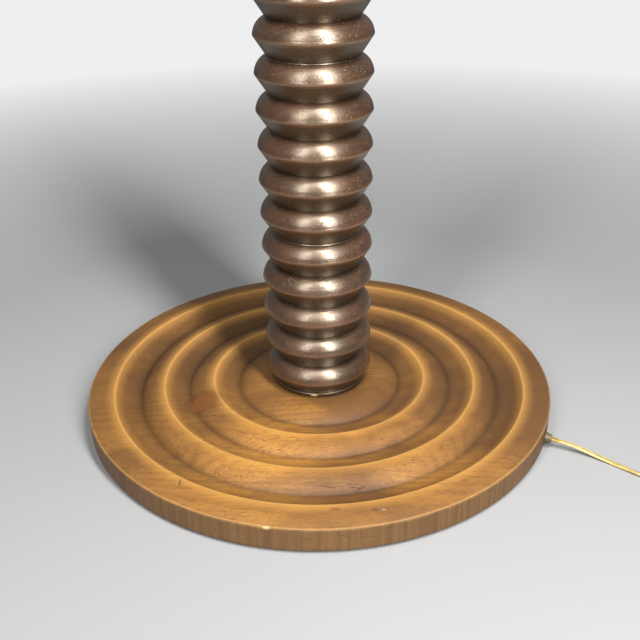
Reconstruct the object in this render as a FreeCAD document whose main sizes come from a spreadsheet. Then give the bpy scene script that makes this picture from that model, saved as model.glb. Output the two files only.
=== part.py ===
"""Candlestick floor lamp: a ring-moulded wooden base, a stacked-bead column and a shaded lampholder.

The base disc and the column are turned wood. A threaded pipe clamps them together and carries the
flex up to a brass key-switch lampholder, whose harp holds the shade. Millimetres, +Z up, the
origin on the floor under the middle of the base, the front towards -Y.
"""
import FreeCAD, Part
import math
import os
import re

import Sketcher
from FreeCAD import Placement, Rotation, Vector

# Driving dimensions in millimetres, degrees and counts.
SIZES = {
    # Turned base
    "felt_height": 2.0, "felt_radius": 18.0, "felt_circle": 188.0, "felt_count": 4,
    "base_radius": 225.0, "base_edge": 23.6, "base_thickness": 27.0, "edge_round": 2.5,
    "outer_crest": 199.5, "outer_valley": 175.5, "outer_depth": 10.7,
    "middle_crest": 151.8, "middle_valley": 128.4, "middle_depth": 8.8,
    "inner_crest": 103.4, "inner_valley": 79.4, "inner_depth": 8.0, "boss_crest": 56.5,
    # Turned column
    "bead_radius": 50.5, "neck_radius": 39.8, "bead_pitch": 31.2, "section_beads": 14,
    "shoulder_radius": 50.0, "shoulder_rise": 3.6, "crown_radius": 50.0, "hip_drop": 3.2,
    "arris_radius": 14.0,
    "foot_radius": 44.3, "foot_height": 4.2, "spigot_radius": 14.0, "spigot_length": 30.0,
    "spigot_gap": 0.3, "collar_radius": 30.0, "collar_height": 18.0, "collar_round": 6.0,
    # Pipe, washers and nuts
    "pipe_radius": 5.0, "pipe_wall": 1.3, "pipe_gap": 0.5, "thread_gap": 0.15,
    "washer_radius": 19.0, "washer_thickness": 2.0, "nut_width": 17.0, "nut_height": 6.0,
    "recess_radius": 24.0, "recess_depth": 18.0, "ring_radius": 17.0, "ring_height": 3.0,
    # Cord way through the base
    "exit_angle": -23.0, "exit_height": 10.0, "channel_width": 8.0, "channel_depth": 12.0,
    "edge_wall": 25.0, "strap_length": 24.0, "strap_width": 9.0, "strap_thickness": 0.8,
    "strap_count": 3, "first_strap": 60.0, "strap_spacing": 50.0,
    "bushing_radius": 4.6, "bushing_flange": 5.6, "bushing_length": 20.0, "bushing_proud": 6.0,
    "flex_diameter": 5.0, "flex_gap": 0.3, "flex_rest": 4.7, "dip_start": 10.0, "dip_end": 50.0,
    "bushing_lip": 1.0, "turn_start": 30.0,
    # Lampholder
    "cap_radius": 17.0, "cap_height": 22.0, "cap_neck": 9.0, "cap_dome": 14.0, "dome_radius": 22.4,
    "brass_wall": 0.8,
    "shell_radius": 15.8, "shell_height": 44.0, "shell_wall": 0.6, "shell_lap": 7.0,
    "liner_wall": 0.7, "holder_gap": 0.3, "block_height": 19.0, "screw_wall": 0.5,
    "screw_height": 20.0, "contact_radius": 4.0, "contact_height": 2.0, "pipe_entry": 8.0,
    "terminal_radius": 2.6, "terminal_depth": 2.2, "terminal_recess": 3.0,
    "key_height": 12.0, "spindle_radius": 1.6, "spindle_length": 10.0, "key_width": 13.0,
    "key_length": 9.0, "key_thickness": 3.2, "spindle_gap": 0.35,
    # Bulb
    "bulb_radius": 30.0, "bulb_height": 82.0, "bulb_neck": 14.5, "bulb_wall": 1.0,
    "bulb_shoulder": 14.8, "bulb_flank": 131.0,
    "bulb_cup_radius": 12.7, "bulb_cup_height": 24.0, "tip_radius": 4.2, "tip_height": 2.0,
    # Harp
    "saddle_thickness": 2.0, "saddle_width": 16.0, "harp_foot": 38.0, "harp_half": 62.0,
    "harp_height": 240.0, "harp_wire": 1.7, "peg_height": 14.0, "stop_height": 6.0,
    "stop_thickness": 1.2, "sleeve_radius": 3.2, "sleeve_wall": 1.1, "sleeve_length": 18.0,
    "stud_radius": 3.0, "stud_height": 13.0, "rest_radius": 8.0, "rest_thickness": 1.6,
    # Shade
    "shade_top": 150.0, "shade_bottom": 230.0, "shade_height": 300.0, "shade_wall": 1.6,
    "shade_wire": 1.6, "wire_gap": 0.2, "spider_drop": 14.0, "spider_count": 3,
    "spider_hub": 9.0, "spider_plate": 1.2, "spoke_radius": 1.28, "solder_gap": 0.05,
    "finial_radius": 9.0, "finial_height": 30.0, "finial_foot": 7.6, "finial_flange": 2.0,
    "finial_waist": 5.0, "waist_height": 7.5, "egg_height": 18.0, "finial_tip": 1.4,
    "neck_sweep": 14.4, "egg_sweep": 13.5,
    # Coiled lead and plug
    "coil_away": 147.05, "coil_aside": 5.12, "coil_heading": -38.0, "coil_inner": 22.0,
    "coil_spacing": 5.5, "coil_turns": 3, "coil_layers": 4, "floor_gap": 0.1,
    "plug_length": 30.0, "plug_width": 24.0, "plug_thickness": 15.0, "plug_waist": 9.0,
    "tail_reach": 72.0, "tail_aside": 6.0,
    "blade_length": 17.0, "blade_width": 6.4, "blade_thickness": 1.5, "blade_spacing": 12.7,
}

doc = FreeCAD.newDocument("candlestick_floor_lamp")
sheet = doc.addObject("Spreadsheet::Sheet", "Sizes")
for row, (alias, amount) in enumerate(SIZES.items(), 1):
    sheet.set(f"A{row}", alias)
    sheet.set(f"B{row}", str(amount))
    sheet.setAlias(f"B{row}", alias)
doc.recompute()

NODES = []


def size(name):
    """One driving dimension, read back from the sheet."""
    return float(sheet.get(name))


def bound(text):
    """A formula of driving dimensions, written for the sheet's expression engine."""
    return re.sub(r"\b([a-z]+_[a-z_]+)\b", r"Sizes.\1", text)


def sheet_value(plain):
    """The value of a formula of numbers, worked out from the innermost bracket outwards."""
    group = re.search(r"\(([^()]*)\)", plain)
    if not group:
        return FreeCAD.Units.Quantity(plain).Value
    inner = FreeCAD.Units.Quantity(group.group(1)).Value
    return sheet_value(plain[:group.start()] + f"{inner:.9f}" + plain[group.end():])


def number(text):
    """The value of a formula of driving dimensions."""
    return sheet_value(re.sub(r"\b([a-z]+_[a-z_]+)\b", lambda found: repr(size(found.group(1))), text))


def node(item, name):
    """Name a finished piece of the lamp."""
    item.Label = name
    NODES.append(item)
    return item


def origin_plane(body, role):
    return next(item for item in body.Origin.OriginFeatures if item.Role == role)


def arc_through(start, end, radius):
    """An arc of a signed radius: positive bulges to the right of the way from start to end."""
    chord = end - start
    half = chord.Length / 2
    sagitta = abs(radius) - math.sqrt(max(radius * radius - half * half, 0))
    side = Vector(chord.y, -chord.x, 0).normalize()
    middle = (start + end) * 0.5 + side * math.copysign(sagitta, radius)
    return Part.Arc(start, middle, end)


def outline(body, name, role, corners, arcs=None):
    """A closed sketch through corners of formulas. arcs gives the signed radius of an edge."""
    arcs = arcs or {}
    sketch = body.newObject("Sketcher::SketchObject", name)
    sketch.AttachmentSupport = (origin_plane(body, role), "")
    sketch.MapMode = "FlatFace"
    spots = [Vector(number(across), number(up), 0) for across, up in corners]
    count = len(spots)
    geometry = []
    ends = []
    for index, start in enumerate(spots):
        end = spots[(index + 1) % count]
        if index in arcs:
            radius = number(arcs[index].lstrip("-"))
            leftward = arcs[index].startswith("-")
            geometry.append(arc_through(start, end, -radius if leftward else radius))
            ends.append((2, 1) if leftward else (1, 2))
        else:
            geometry.append(Part.LineSegment(start, end))
            ends.append((1, 2))
    sketch.addGeometry(geometry, False)
    for index in range(count):
        after = (index + 1) % count
        sketch.addConstraint(
            Sketcher.Constraint("Coincident", index, ends[index][1], after, ends[after][0]))
    for index, formulas in enumerate(corners):
        for kind, axis, formula in (("DistanceX", -2, formulas[0]), ("DistanceY", -1, formulas[1])):
            if formula == "0":
                sketch.addConstraint(Sketcher.Constraint("PointOnObject", index, ends[index][0], axis))
                continue
            rule = sketch.addConstraint(
                Sketcher.Constraint(kind, -1, 1, index, ends[index][0], number(formula)))
            sketch.setExpression(f"Constraints[{rule}]", bound(formula))
    for index, formula in arcs.items():
        formula = formula.lstrip("-")
        rule = sketch.addConstraint(Sketcher.Constraint("Radius", index, number(formula)))
        sketch.setExpression(f"Constraints[{rule}]", bound(formula))
    return sketch


def spin(body, sketch, name, kind="PartDesign::Revolution"):
    """Turn a sketch of the body about the lamp's axis."""
    turned_form = body.newObject(kind, name)
    turned_form.Profile = sketch
    turned_form.ReferenceAxis = (sketch, ["V_Axis"])
    turned_form.Angle = 360
    return turned_form


def turned(name, corners, arcs=None):
    """A piece turned about the lamp's axis from one outline."""
    body = doc.addObject("PartDesign::Body", name)
    sketch = outline(body, name + "_outline", "XZ_Plane", corners, arcs)
    spin(body, sketch, name + "_turning")
    return body


def bind(item, **formulas):
    """Tie properties of an item to formulas of driving dimensions."""
    for name, formula in formulas.items():
        item.setExpression(name, bound(formula))
    return item


def cylinder(name, radius, height, x="0", y="0", z="0", turn=None):
    rod = doc.addObject("Part::Cylinder", name)
    rod.Placement = Placement(Vector(number(x), number(y), number(z)), turn or Rotation())
    return bind(rod, Radius=radius, Height=height)


def rod(name, radius, start, end):
    """A straight round rod between two points."""
    item = doc.addObject("Part::Cylinder", name)
    item.Height = (end - start).Length
    item.Placement = Placement(start, Rotation(Vector(0, 0, 1), end - start))
    return bind(item, Radius=radius)


def box(name, length, width, height, place):
    """A box whose middle of the lower face lies on its Placement's origin."""
    block = doc.addObject("Part::Box", name)
    shift = Placement(Vector(-number(length) / 2, -number(width) / 2, 0), Rotation())
    block.Placement = place.multiply(shift)
    return bind(block, Length=length, Width=width, Height=height)


def cut(name, body, *tools):
    """Take each tool from a body in turn."""
    for index, tool in enumerate(tools):
        result = doc.addObject("Part::Cut", f"{name}_cut_{index}")
        result.Base = body
        result.Tool = tool
        body = result
    return body


def fuse(name, *items):
    joined = doc.addObject("Part::MultiFuse", name)
    joined.Shapes = list(items)
    return joined


def feature(name, shape):
    item = doc.addObject("Part::Feature", name)
    item.Shape = shape
    return item


def radial(distance, height, azimuth):
    """A point of the lamp at a distance from its axis, on an azimuth in degrees."""
    turn = math.radians(azimuth)
    return Vector(distance * math.cos(turn), distance * math.sin(turn), height)


# ---------------------------------------------------------------- levels along the axis
BASE_BOTTOM = "felt_height"
BASE_TOP = "felt_height + base_thickness"
SECTION = "bead_pitch * section_beads"
COLUMN_TOP = f"{BASE_TOP} + 3 * {SECTION}"
RING_BOTTOM = f"{COLUMN_TOP} + collar_height"
SADDLE_BOTTOM = f"{RING_BOTTOM} + ring_height"
HOLDER = f"{SADDLE_BOTTOM} + saddle_thickness"
SEAT = "felt_height + recess_depth"
SHELL_BOTTOM = f"{HOLDER} + cap_height - shell_lap"
BLOCK_BOTTOM = f"{SHELL_BOTTOM} + holder_gap"
BLOCK_TOP = f"{BLOCK_BOTTOM} + block_height"
CONTACT_TOP = f"{BLOCK_TOP} + contact_height"
BULB_TIP = f"{CONTACT_TOP} + holder_gap"
CUP_BOTTOM = f"{BULB_TIP} + tip_height"
CUP_TOP = f"{CUP_BOTTOM} + bulb_cup_height"
HARP_TOP = f"{HOLDER} + harp_height"
HUB_BOTTOM = f"{HARP_TOP} + harp_wire + rest_thickness"
HUB_TOP = f"{HUB_BOTTOM} + spider_plate"
SHADE_TOP = f"{HUB_BOTTOM} + spider_drop + shade_wire"
BORE = "pipe_radius + pipe_gap"
CHANNEL_END = "base_radius - edge_wall"


# ---------------------------------------------------------------- turned base
def mould_radius(width, depth):
    """Radius of a cove or ovolo that is level at one end, from its width and depth."""
    return f"(({width}) ^ 2 + ({depth}) ^ 2) / (2 * ({depth}))"


def make_base():
    """The disc: three scooped rings, each a cove falling inwards and an ovolo rising to a crest."""
    crests = ["outer_crest", "middle_crest", "inner_crest", "boss_crest"]
    rings = ["outer", "middle", "inner"]
    corners = [(BORE, SEAT), ("recess_radius", SEAT), ("recess_radius", BASE_BOTTOM)]
    corners += [("base_radius - edge_round", BASE_BOTTOM),
                ("base_radius", f"{BASE_BOTTOM} + edge_round"),
                ("base_radius", f"{BASE_BOTTOM} + base_edge")]
    arcs = {3: "edge_round",
            5: mould_radius("base_radius - outer_crest", "base_thickness - base_edge")}
    for index, ring in enumerate(rings):
        crest, valley, depth = crests[index], f"{ring}_valley", f"{ring}_depth"
        arcs[len(corners)] = "-" + mould_radius(f"{crest} - {valley}", depth)
        corners.append((crest, BASE_TOP))
        arcs[len(corners)] = mould_radius(f"{valley} - {crests[index + 1]}", depth)
        corners.append((valley, f"{BASE_TOP} - {depth}"))
    corners += [("boss_crest", BASE_TOP), (BORE, BASE_TOP)]
    disc = turned("base_turning", corners, arcs)
    azimuth = size("exit_angle")
    outward = Rotation(Vector(0, 0, 1), azimuth)
    channel_end = number(CHANNEL_END)
    channel = box("cord_channel", CHANNEL_END, "channel_width", "channel_depth",
                  Placement(radial(channel_end / 2, size("felt_height"), azimuth), outward))
    hole = cylinder("edge_hole", "bushing_radius + flex_gap", "base_radius")
    reach = radial(channel_end - size("bushing_lip"), size("exit_height"), azimuth)
    hole.Placement = Placement(reach, outward.multiply(Rotation(Vector(0, 1, 0), 90)))
    node(cut("base", disc, channel, hole), "base_disc")


def make_felt_pads():
    pads = []
    for index in range(int(size("felt_count"))):
        spot = radial(size("felt_circle"), 0, 45 + 360 * index / size("felt_count"))
        pad = cylinder(f"felt_pad_{index}", "felt_radius", "felt_height")
        pad.Placement = Placement(spot, Rotation())
        pads.append(pad)
    node(fuse("felt_group", *pads), "felt_pads")


# ---------------------------------------------------------------- turned column
def make_column_section(index, label):
    """A stave of beads. Each bead is a convex crown over a straight hip down to the neck."""
    low = f"{BASE_TOP} + {index} * {SECTION}"
    high = f"{low} + {SECTION}"
    body = doc.addObject("PartDesign::Body", label + "_stock")
    middle = f"{low} + bead_pitch / 2"
    bead = outline(body, label + "_bead", "XZ_Plane", [
        (BORE, low), ("neck_radius", low), ("bead_radius", f"{middle} - hip_drop"),
        ("shoulder_radius", f"{middle} + shoulder_rise"), ("neck_radius", f"{low} + bead_pitch"),
        (BORE, f"{low} + bead_pitch")],
        {2: "arris_radius", 3: "crown_radius"})
    first = spin(body, bead, label + "_first_bead")
    beads = body.newObject("PartDesign::LinearPattern", label + "_beads")
    beads.Originals = [first]
    beads.Direction = (bead, ["V_Axis"])
    bind(beads, Length="bead_pitch * (section_beads - 1)", Occurrences="section_beads")
    body.Tip = beads
    if index == 0:
        foot = outline(body, label + "_foot_outline", "XZ_Plane", [
            (BORE, low), ("foot_radius", low), ("foot_radius", f"{low} + foot_height"),
            (BORE, f"{low} + foot_height")])
        spin(body, foot, label + "_foot")
    if index < 2:
        socket = outline(body, label + "_socket_outline", "XZ_Plane", [
            (BORE, f"{high} - spigot_length - spigot_gap"),
            ("spigot_radius + spigot_gap", f"{high} - spigot_length - spigot_gap"),
            ("spigot_radius + spigot_gap", high), (BORE, high)])
        spin(body, socket, label + "_socket", "PartDesign::Groove")
    if index > 0:
        spigot = outline(body, label + "_spigot_outline", "XZ_Plane", [
            (BORE, f"{low} - spigot_length"), ("spigot_radius", f"{low} - spigot_length"),
            ("spigot_radius", f"{low} + bead_pitch / 2"), (BORE, f"{low} + bead_pitch / 2")])
        spin(body, spigot, label + "_spigot")
    node(body, label)


def make_collar():
    node(turned("collar_turning", [
        (BORE, COLUMN_TOP), ("neck_radius", COLUMN_TOP), ("neck_radius", f"{COLUMN_TOP} + collar_round"),
        ("collar_radius", f"{RING_BOTTOM} - collar_round / 2"), ("collar_radius", RING_BOTTOM),
        (BORE, RING_BOTTOM)], {2: "-collar_height"}), "column_collar")


# ---------------------------------------------------------------- clamping hardware
def tube_outline(inner, outer, low, high):
    return [(inner, low), (outer, low), (outer, high), (inner, high)]


def make_hardware():
    pipe_bottom = f"{SEAT} - washer_thickness - nut_height"
    node(turned("pipe_turning", tube_outline(
        "(pipe_radius - pipe_wall)", "pipe_radius", pipe_bottom, f"{HOLDER} + pipe_entry")),
        "threaded_pipe")
    snug = "pipe_radius + thread_gap"
    node(turned("washer_turning", tube_outline(
        snug, "washer_radius", f"{SEAT} - washer_thickness", SEAT)), "base_washer")
    node(turned("ring_turning", [
        (snug, RING_BOTTOM), ("ring_radius", RING_BOTTOM),
        ("ring_radius", f"{RING_BOTTOM} + ring_height / 2"),
        ("ring_radius - ring_height / 2", SADDLE_BOTTOM), (snug, SADDLE_BOTTOM)],
        {2: "ring_height / 2"}), "check_ring")
    hexagon = doc.addObject("Part::Prism", "nut_prism")
    hexagon.Polygon = 6
    hexagon.Placement = Placement(Vector(0, 0, number(pipe_bottom)), Rotation())
    bind(hexagon, Circumradius="nut_width / 2 / cos(30)", Height="nut_height")
    bore = cylinder("nut_bore", snug, "nut_height", z=pipe_bottom)
    node(cut("nut", hexagon, bore), "base_nut")


def make_cord_way():
    azimuth = size("exit_angle")
    outward = Rotation(Vector(0, 0, 1), azimuth)
    straps = []
    for index in range(int(size("strap_count"))):
        distance = size("first_strap") + index * size("strap_spacing")
        spot = radial(distance, size("felt_height") - size("strap_thickness"), azimuth)
        straps.append(box(f"strap_{index}", "strap_width", "strap_length", "strap_thickness",
                          Placement(spot, outward)))
    node(fuse("strap_group", *straps), "cord_straps")
    bushing = turned("bushing_turning", [
        ("(flex_diameter / 2 + flex_gap)", "0"), ("bushing_radius", "0"),
        ("bushing_radius", "(bushing_length - bushing_proud)"),
        ("bushing_flange", "(bushing_length - bushing_proud + flex_gap)"),
        ("bushing_radius - bushing_lip", "bushing_length"),
        ("(flex_diameter / 2 + flex_gap)", "bushing_length")])
    start = size("base_radius") + size("bushing_proud") - size("bushing_length")
    bushing.Placement = Placement(radial(start, size("exit_height"), azimuth),
                                  outward.multiply(Rotation(Vector(0, 1, 0), 90)))
    node(bushing, "cord_bushing")


# ---------------------------------------------------------------- lampholder
def make_lampholder():
    snug = "pipe_radius + thread_gap"
    node(turned("cap_turning", [
        (snug, HOLDER), ("cap_neck", HOLDER), ("cap_radius", f"{HOLDER} + cap_dome"),
        ("cap_radius", f"{HOLDER} + cap_height"),
        ("cap_radius - brass_wall", f"{HOLDER} + cap_height"),
        ("cap_radius - brass_wall", f"{HOLDER} + cap_dome + brass_wall / 2"),
        ("cap_neck", f"{HOLDER} + 2 * brass_wall"), (snug, f"{HOLDER} + 2 * brass_wall")],
        {1: "dome_radius"}), "socket_cap")
    inner = "shell_radius - shell_wall"
    shell = turned("shell_turning", tube_outline(
        inner, "shell_radius", SHELL_BOTTOM, f"{SHELL_BOTTOM} + shell_height"))
    liner_outer = f"{inner} - holder_gap / 2"
    liner_inner = f"{liner_outer} - liner_wall"
    liner = turned("liner_turning", tube_outline(
        liner_inner, liner_outer, BLOCK_BOTTOM, f"{SHELL_BOTTOM} + shell_height - holder_gap"))
    block_radius = f"{liner_inner} - holder_gap / 2"
    block = turned("block_turning", tube_outline("0", block_radius, BLOCK_BOTTOM, BLOCK_TOP))
    sideways = Rotation(Vector(0, 1, 0), 90)
    key_level = f"{BLOCK_BOTTOM} + key_height"
    spindle_end = number(block_radius) - size("terminal_recess")
    for label, part in (("socket_shell", shell), ("socket_liner", liner)):
        way = cylinder(label + "_way", "spindle_radius + spindle_gap", "shell_radius", z=key_level,
                       turn=sideways)
        node(cut(label, part, way), label)
    pocket = cylinder("spindle_pocket", "spindle_radius + spindle_gap", "shell_radius", turn=sideways)
    pocket.Placement.Base = Vector(spindle_end - size("spindle_gap"), 0, number(key_level))
    recesses = []
    screws = []
    for side in (-1, 1):
        level = number(BLOCK_BOTTOM) + size("block_height") / 2
        recess = box(f"terminal_recess_{side + 1}", "3 * terminal_radius", "2 * terminal_recess",
                     "block_height / 2",
                     Placement(Vector(0, side * number(block_radius), number(BLOCK_BOTTOM)), Rotation()))
        recesses.append(recess)
        screw = cylinder(f"terminal_{side + 1}", "terminal_radius", "terminal_depth")
        lift = level - size("terminal_radius") * 2
        screw.Placement = Placement(
            Vector(0, side * (number(block_radius) - size("terminal_recess")), lift),
            Rotation(Vector(1, 0, 0), -90 * side))
        screws.append(screw)
    node(cut("socket_block", block, pocket, *recesses), "socket_block")
    node(fuse("terminal_group", *screws), "terminal_screws")
    node(turned("screw_turning", tube_outline(
        f"{block_radius} - screw_wall", block_radius, BLOCK_TOP, f"{BLOCK_TOP} + screw_height")),
        "screw_shell")
    node(cylinder("contact", "contact_radius", "contact_height", z=BLOCK_TOP), "centre_contact")
    spindle = cylinder("spindle", "spindle_radius", "spindle_length + key_length / 2", turn=sideways)
    spindle.Placement.Base = Vector(spindle_end, 0, number(key_level))
    key_start = Vector(spindle_end + size("spindle_length"), 0, number(key_level))
    paddle = cylinder("key_paddle", "key_width / 2", "key_thickness")
    paddle.Placement = Placement(key_start + Vector(size("key_length") / 2, size("key_thickness") / 2, 0),
                                 Rotation(Vector(1, 0, 0), 90))
    node(fuse("key", spindle, paddle), "switch_key")


def make_bulb():
    """A pear-shaped bulb: a contact tip, a metal cup and a thin glass envelope."""
    node(turned("tip_turning", tube_outline("0", "tip_radius", BULB_TIP, CUP_BOTTOM)), "bulb_tip")
    node(turned("cup_turning", [
        ("0", CUP_BOTTOM), ("tip_radius", CUP_BOTTOM), ("bulb_cup_radius", f"{CUP_BOTTOM} + tip_height"),
        ("bulb_cup_radius", CUP_TOP), ("0", CUP_TOP)]), "bulb_cup")
    widest = f"{CUP_TOP} + bulb_height - bulb_radius"
    shoulder = f"{CUP_TOP} + bulb_shoulder"
    node(turned("glass_turning", [
        ("bulb_cup_radius - bulb_wall", CUP_TOP), ("bulb_cup_radius", CUP_TOP),
        ("bulb_neck", shoulder), ("bulb_radius", widest), ("0", f"{widest} + bulb_radius"),
        ("0", f"{widest} + bulb_radius - bulb_wall"), ("bulb_radius - bulb_wall", widest),
        ("bulb_neck - bulb_wall", shoulder)],
        {2: "-bulb_flank", 3: "bulb_radius", 5: "-(bulb_radius - bulb_wall)",
         6: "bulb_flank + bulb_wall"}), "bulb_glass")


# ---------------------------------------------------------------- swept wires and the flex
def rounded_path(points, tightest=None):
    """Straight runs joined by tangent arcs, each as large as its two runs allow."""
    edges = []
    radii = []
    last = points[0]
    for before, corner, after in zip(points, points[1:], points[2:]):
        into = (corner - before).normalize()
        out = (after - corner).normalize()
        half_turn = into.getAngle(out) / 2
        shorter = min((corner - before).Length, (after - corner).Length)
        radius = 0.45 * shorter / math.tan(half_turn)
        if tightest:
            radius = min(radius, tightest)
        setback = radius * math.tan(half_turn)
        start = corner - into * setback
        end = corner + out * setback
        inward = (out - into).normalize()
        middle = corner + inward * (radius / math.cos(half_turn) - radius)
        edges.append(Part.LineSegment(last, start).toShape())
        edges.append(Part.Arc(start, middle, end).toShape())
        radii.append(radius)
        last = end
    edges.append(Part.LineSegment(last, points[-1]).toShape())
    return Part.Wire(edges), radii


def swept(wire, radius):
    """A round solid along a wire, with its volume held against section times length."""
    first = wire.Edges[0]
    start = first.valueAt(first.FirstParameter)
    heading = first.tangentAt(first.FirstParameter)
    section = Part.Wire([Part.Circle(start, heading, radius).toShape()])
    solid = wire.makePipeShell([section], True, False)
    ideal = math.pi * radius * radius * wire.Length
    print(f"tube of {wire.Length:.0f} mm, volume share {solid.Volume / ideal:.4f}")
    return solid


def print_radii(label, radii):
    print(label, "bend radii", [round(radius) for radius in radii])


# Corners of the harp's arm above its foot, as shares of its half width and of its height.
HARP_ARM = ((1.0, 0.4), (1.016, 0.625), (0.774, 0.883), (0.333, 1.0))
HARP_KNEE = 0.192


def make_harp():
    foot, half, wire = size("harp_foot"), size("harp_half"), size("harp_wire")
    holder, height = number(HOLDER), size("harp_height")
    peg_top = holder + size("peg_height") + size("holder_gap")
    saddle_low = number(SADDLE_BOTTOM)
    strip = box("saddle_strip", "2 * harp_foot + saddle_width", "saddle_width", "saddle_thickness",
                Placement(Vector(0, 0, saddle_low), Rotation()))
    pieces = [strip]
    for side in (-1, 1):
        name = "left" if side < 0 else "right"
        spot = Vector(side * foot, 0, saddle_low)
        peg = cylinder(f"peg_{name}", "harp_wire", "peg_height + saddle_thickness")
        peg.Placement = Placement(spot, Rotation())
        stop = cylinder(f"stop_{name}", "sleeve_radius", "stop_thickness")
        stop.Placement = Placement(Vector(side * foot, 0, holder + size("stop_height")), Rotation())
        pieces += [peg, stop]
        sleeve = cylinder(f"sleeve_{name}", "sleeve_radius", "sleeve_length")
        hollow = cylinder(f"sleeve_{name}_bore", "sleeve_radius - sleeve_wall", "sleeve_length")
        rest = holder + size("stop_height") + size("stop_thickness") + size("holder_gap")
        for item in (sleeve, hollow):
            item.Placement = Placement(Vector(side * foot, 0, rest), Rotation())
        node(cut(f"sleeve_{name}", sleeve, hollow), f"harp_sleeve_{name}")
    frame = fuse("saddle_frame", *pieces)
    way = cylinder("saddle_way", "pipe_radius + thread_gap", "3 * saddle_thickness",
                   z=f"{SADDLE_BOTTOM} - saddle_thickness")
    node(cut("saddle", frame, way), "harp_saddle")
    arm = [(foot, peg_top), (foot, holder + HARP_KNEE * height)]
    arm += [(half * across, holder + height * up) for across, up in HARP_ARM]
    left = [Vector(-across, 0, up) for across, up in arm]
    right = [Vector(across, 0, up) for across, up in reversed(arm)]
    path, _ = rounded_path(left + right)
    loop = feature("harp_loop", swept(path, wire))
    rest = cylinder("harp_rest", "rest_radius", "rest_thickness + harp_wire", z=HARP_TOP)
    stud = cylinder("harp_stud", "stud_radius", "stud_height + harp_wire", z=HARP_TOP)
    node(fuse("harp", loop, rest, stud), "harp_wire")


# ---------------------------------------------------------------- shade
def shade_radius(level):
    """Inner radius of the cloth at a level."""
    share = (number(SHADE_TOP) - level) / size("shade_height")
    return size("shade_top") + share * (size("shade_bottom") - size("shade_top"))


def hoop_radius(level):
    """Radius of a wire hoop's centre line that clears the sloping cloth by the wire gap."""
    slope = (size("shade_bottom") - size("shade_top")) / size("shade_height")
    return shade_radius(level) - (size("shade_wire") + size("wire_gap")) * math.hypot(1, slope)


def ring(name, level):
    hoop = doc.addObject("Part::Torus", name)
    hoop.Placement = Placement(Vector(0, 0, level), Rotation())
    hoop.Radius1 = hoop_radius(level)
    return bind(hoop, Radius2="shade_wire")


def make_shade():
    """The cloth cone, its two wire hoops, and a spider of three spokes round a hub washer."""
    bottom = f"{SHADE_TOP} - shade_height"
    node(turned("shade_turning", [
        ("shade_bottom", bottom), ("shade_bottom + shade_wall", bottom),
        ("shade_top + shade_wall", SHADE_TOP), ("shade_top", SHADE_TOP)]), "shade")
    wire = size("shade_wire")
    top_level = number(SHADE_TOP) - 2 * wire
    node(ring("top_hoop", top_level), "shade_top_ring")
    node(ring("bottom_hoop", number(bottom) + 2 * wire), "shade_bottom_ring")
    plate = cylinder("hub_plate", "spider_hub", "spider_plate", z=HUB_BOTTOM)
    way = cylinder("hub_way", "stud_radius + holder_gap", "spider_plate", z=HUB_BOTTOM)
    node(cut("hub", plate, way), "shade_hub")
    hub_level = number(HUB_BOTTOM) + size("spider_plate") / 2
    reach = hoop_radius(top_level) - wire - size("solder_gap")
    lean = math.atan2(top_level - hub_level, reach)
    start = size("spider_hub") + size("spoke_radius") * math.sin(lean) + size("solder_gap")
    spokes = []
    for index in range(int(size("spider_count"))):
        azimuth = 90 + 360 * index / size("spider_count")
        spokes.append(rod(f"spoke_{index}", "spoke_radius", radial(start, hub_level, azimuth),
                          radial(reach, top_level, azimuth)))
    node(fuse("spoke_group", *spokes), "shade_spokes")


def make_finial():
    """A turned brass knob: a flange, a waist and an egg, bored for the harp's stud."""
    low = f"{HUB_TOP} + holder_gap"
    bore = "stud_radius + thread_gap"
    ceiling = f"{HUB_BOTTOM} + stud_height + holder_gap"
    node(turned("finial_turning", [
        (bore, low), ("finial_foot", low), ("finial_foot", f"{low} + finial_flange"),
        ("finial_waist", f"{low} + waist_height"), ("finial_radius", f"{low} + egg_height"),
        ("finial_tip", f"{low} + finial_height"), ("0", f"{low} + finial_height"),
        ("0", ceiling), (bore, ceiling)],
        {2: "-finial_radius", 3: "neck_sweep", 4: "egg_sweep"}), "finial")


# ---------------------------------------------------------------- flex
FLEX_LEVEL = "flex_diameter / 2 + floor_gap"


def make_inner_flex():
    """The captive flex: through the bushing, along the channel, round under the nut, up the pipe."""
    azimuth = size("exit_angle")
    level = size("flex_rest")
    channel_end = number(CHANNEL_END)
    turn_radius = number(SEAT) - size("washer_thickness") - size("nut_height") - level
    before_turn = radial(size("turn_start"), level, azimuth)
    entry, radii = rounded_path([
        exit_point(), radial(channel_end - size("dip_start"), size("exit_height"), azimuth),
        radial(channel_end - size("dip_end"), level, azimuth), before_turn])
    print_radii("inner flex", radii)
    start = radial(turn_radius, level, azimuth)
    centre = start + Vector(0, 0, turn_radius)
    finish = Vector(0, 0, level + turn_radius)
    middle = centre + (Vector(0, 0, level) - centre).normalize() * turn_radius
    path = Part.Wire(entry.Edges + [
        Part.LineSegment(before_turn, start).toShape(),
        Part.Arc(start, middle, finish).toShape(),
        Part.LineSegment(finish, Vector(0, 0, number(BLOCK_BOTTOM))).toShape()])
    node(feature("inner_lead", swept(path, size("flex_diameter") / 2)), "inner_flex")


def exit_point():
    """Where the flex leaves its bushing."""
    reach = size("base_radius") + size("bushing_proud")
    return radial(reach, size("exit_height"), size("exit_angle"))


def from_exit(along, aside, height):
    """A point past the exit, along the cord's way out and to the left of it, at a height."""
    start = exit_point()
    spot = start + radial(along, 0, size("exit_angle")) + radial(aside, 0, size("exit_angle") + 90)
    return Vector(spot.x, spot.y, height)


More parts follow.
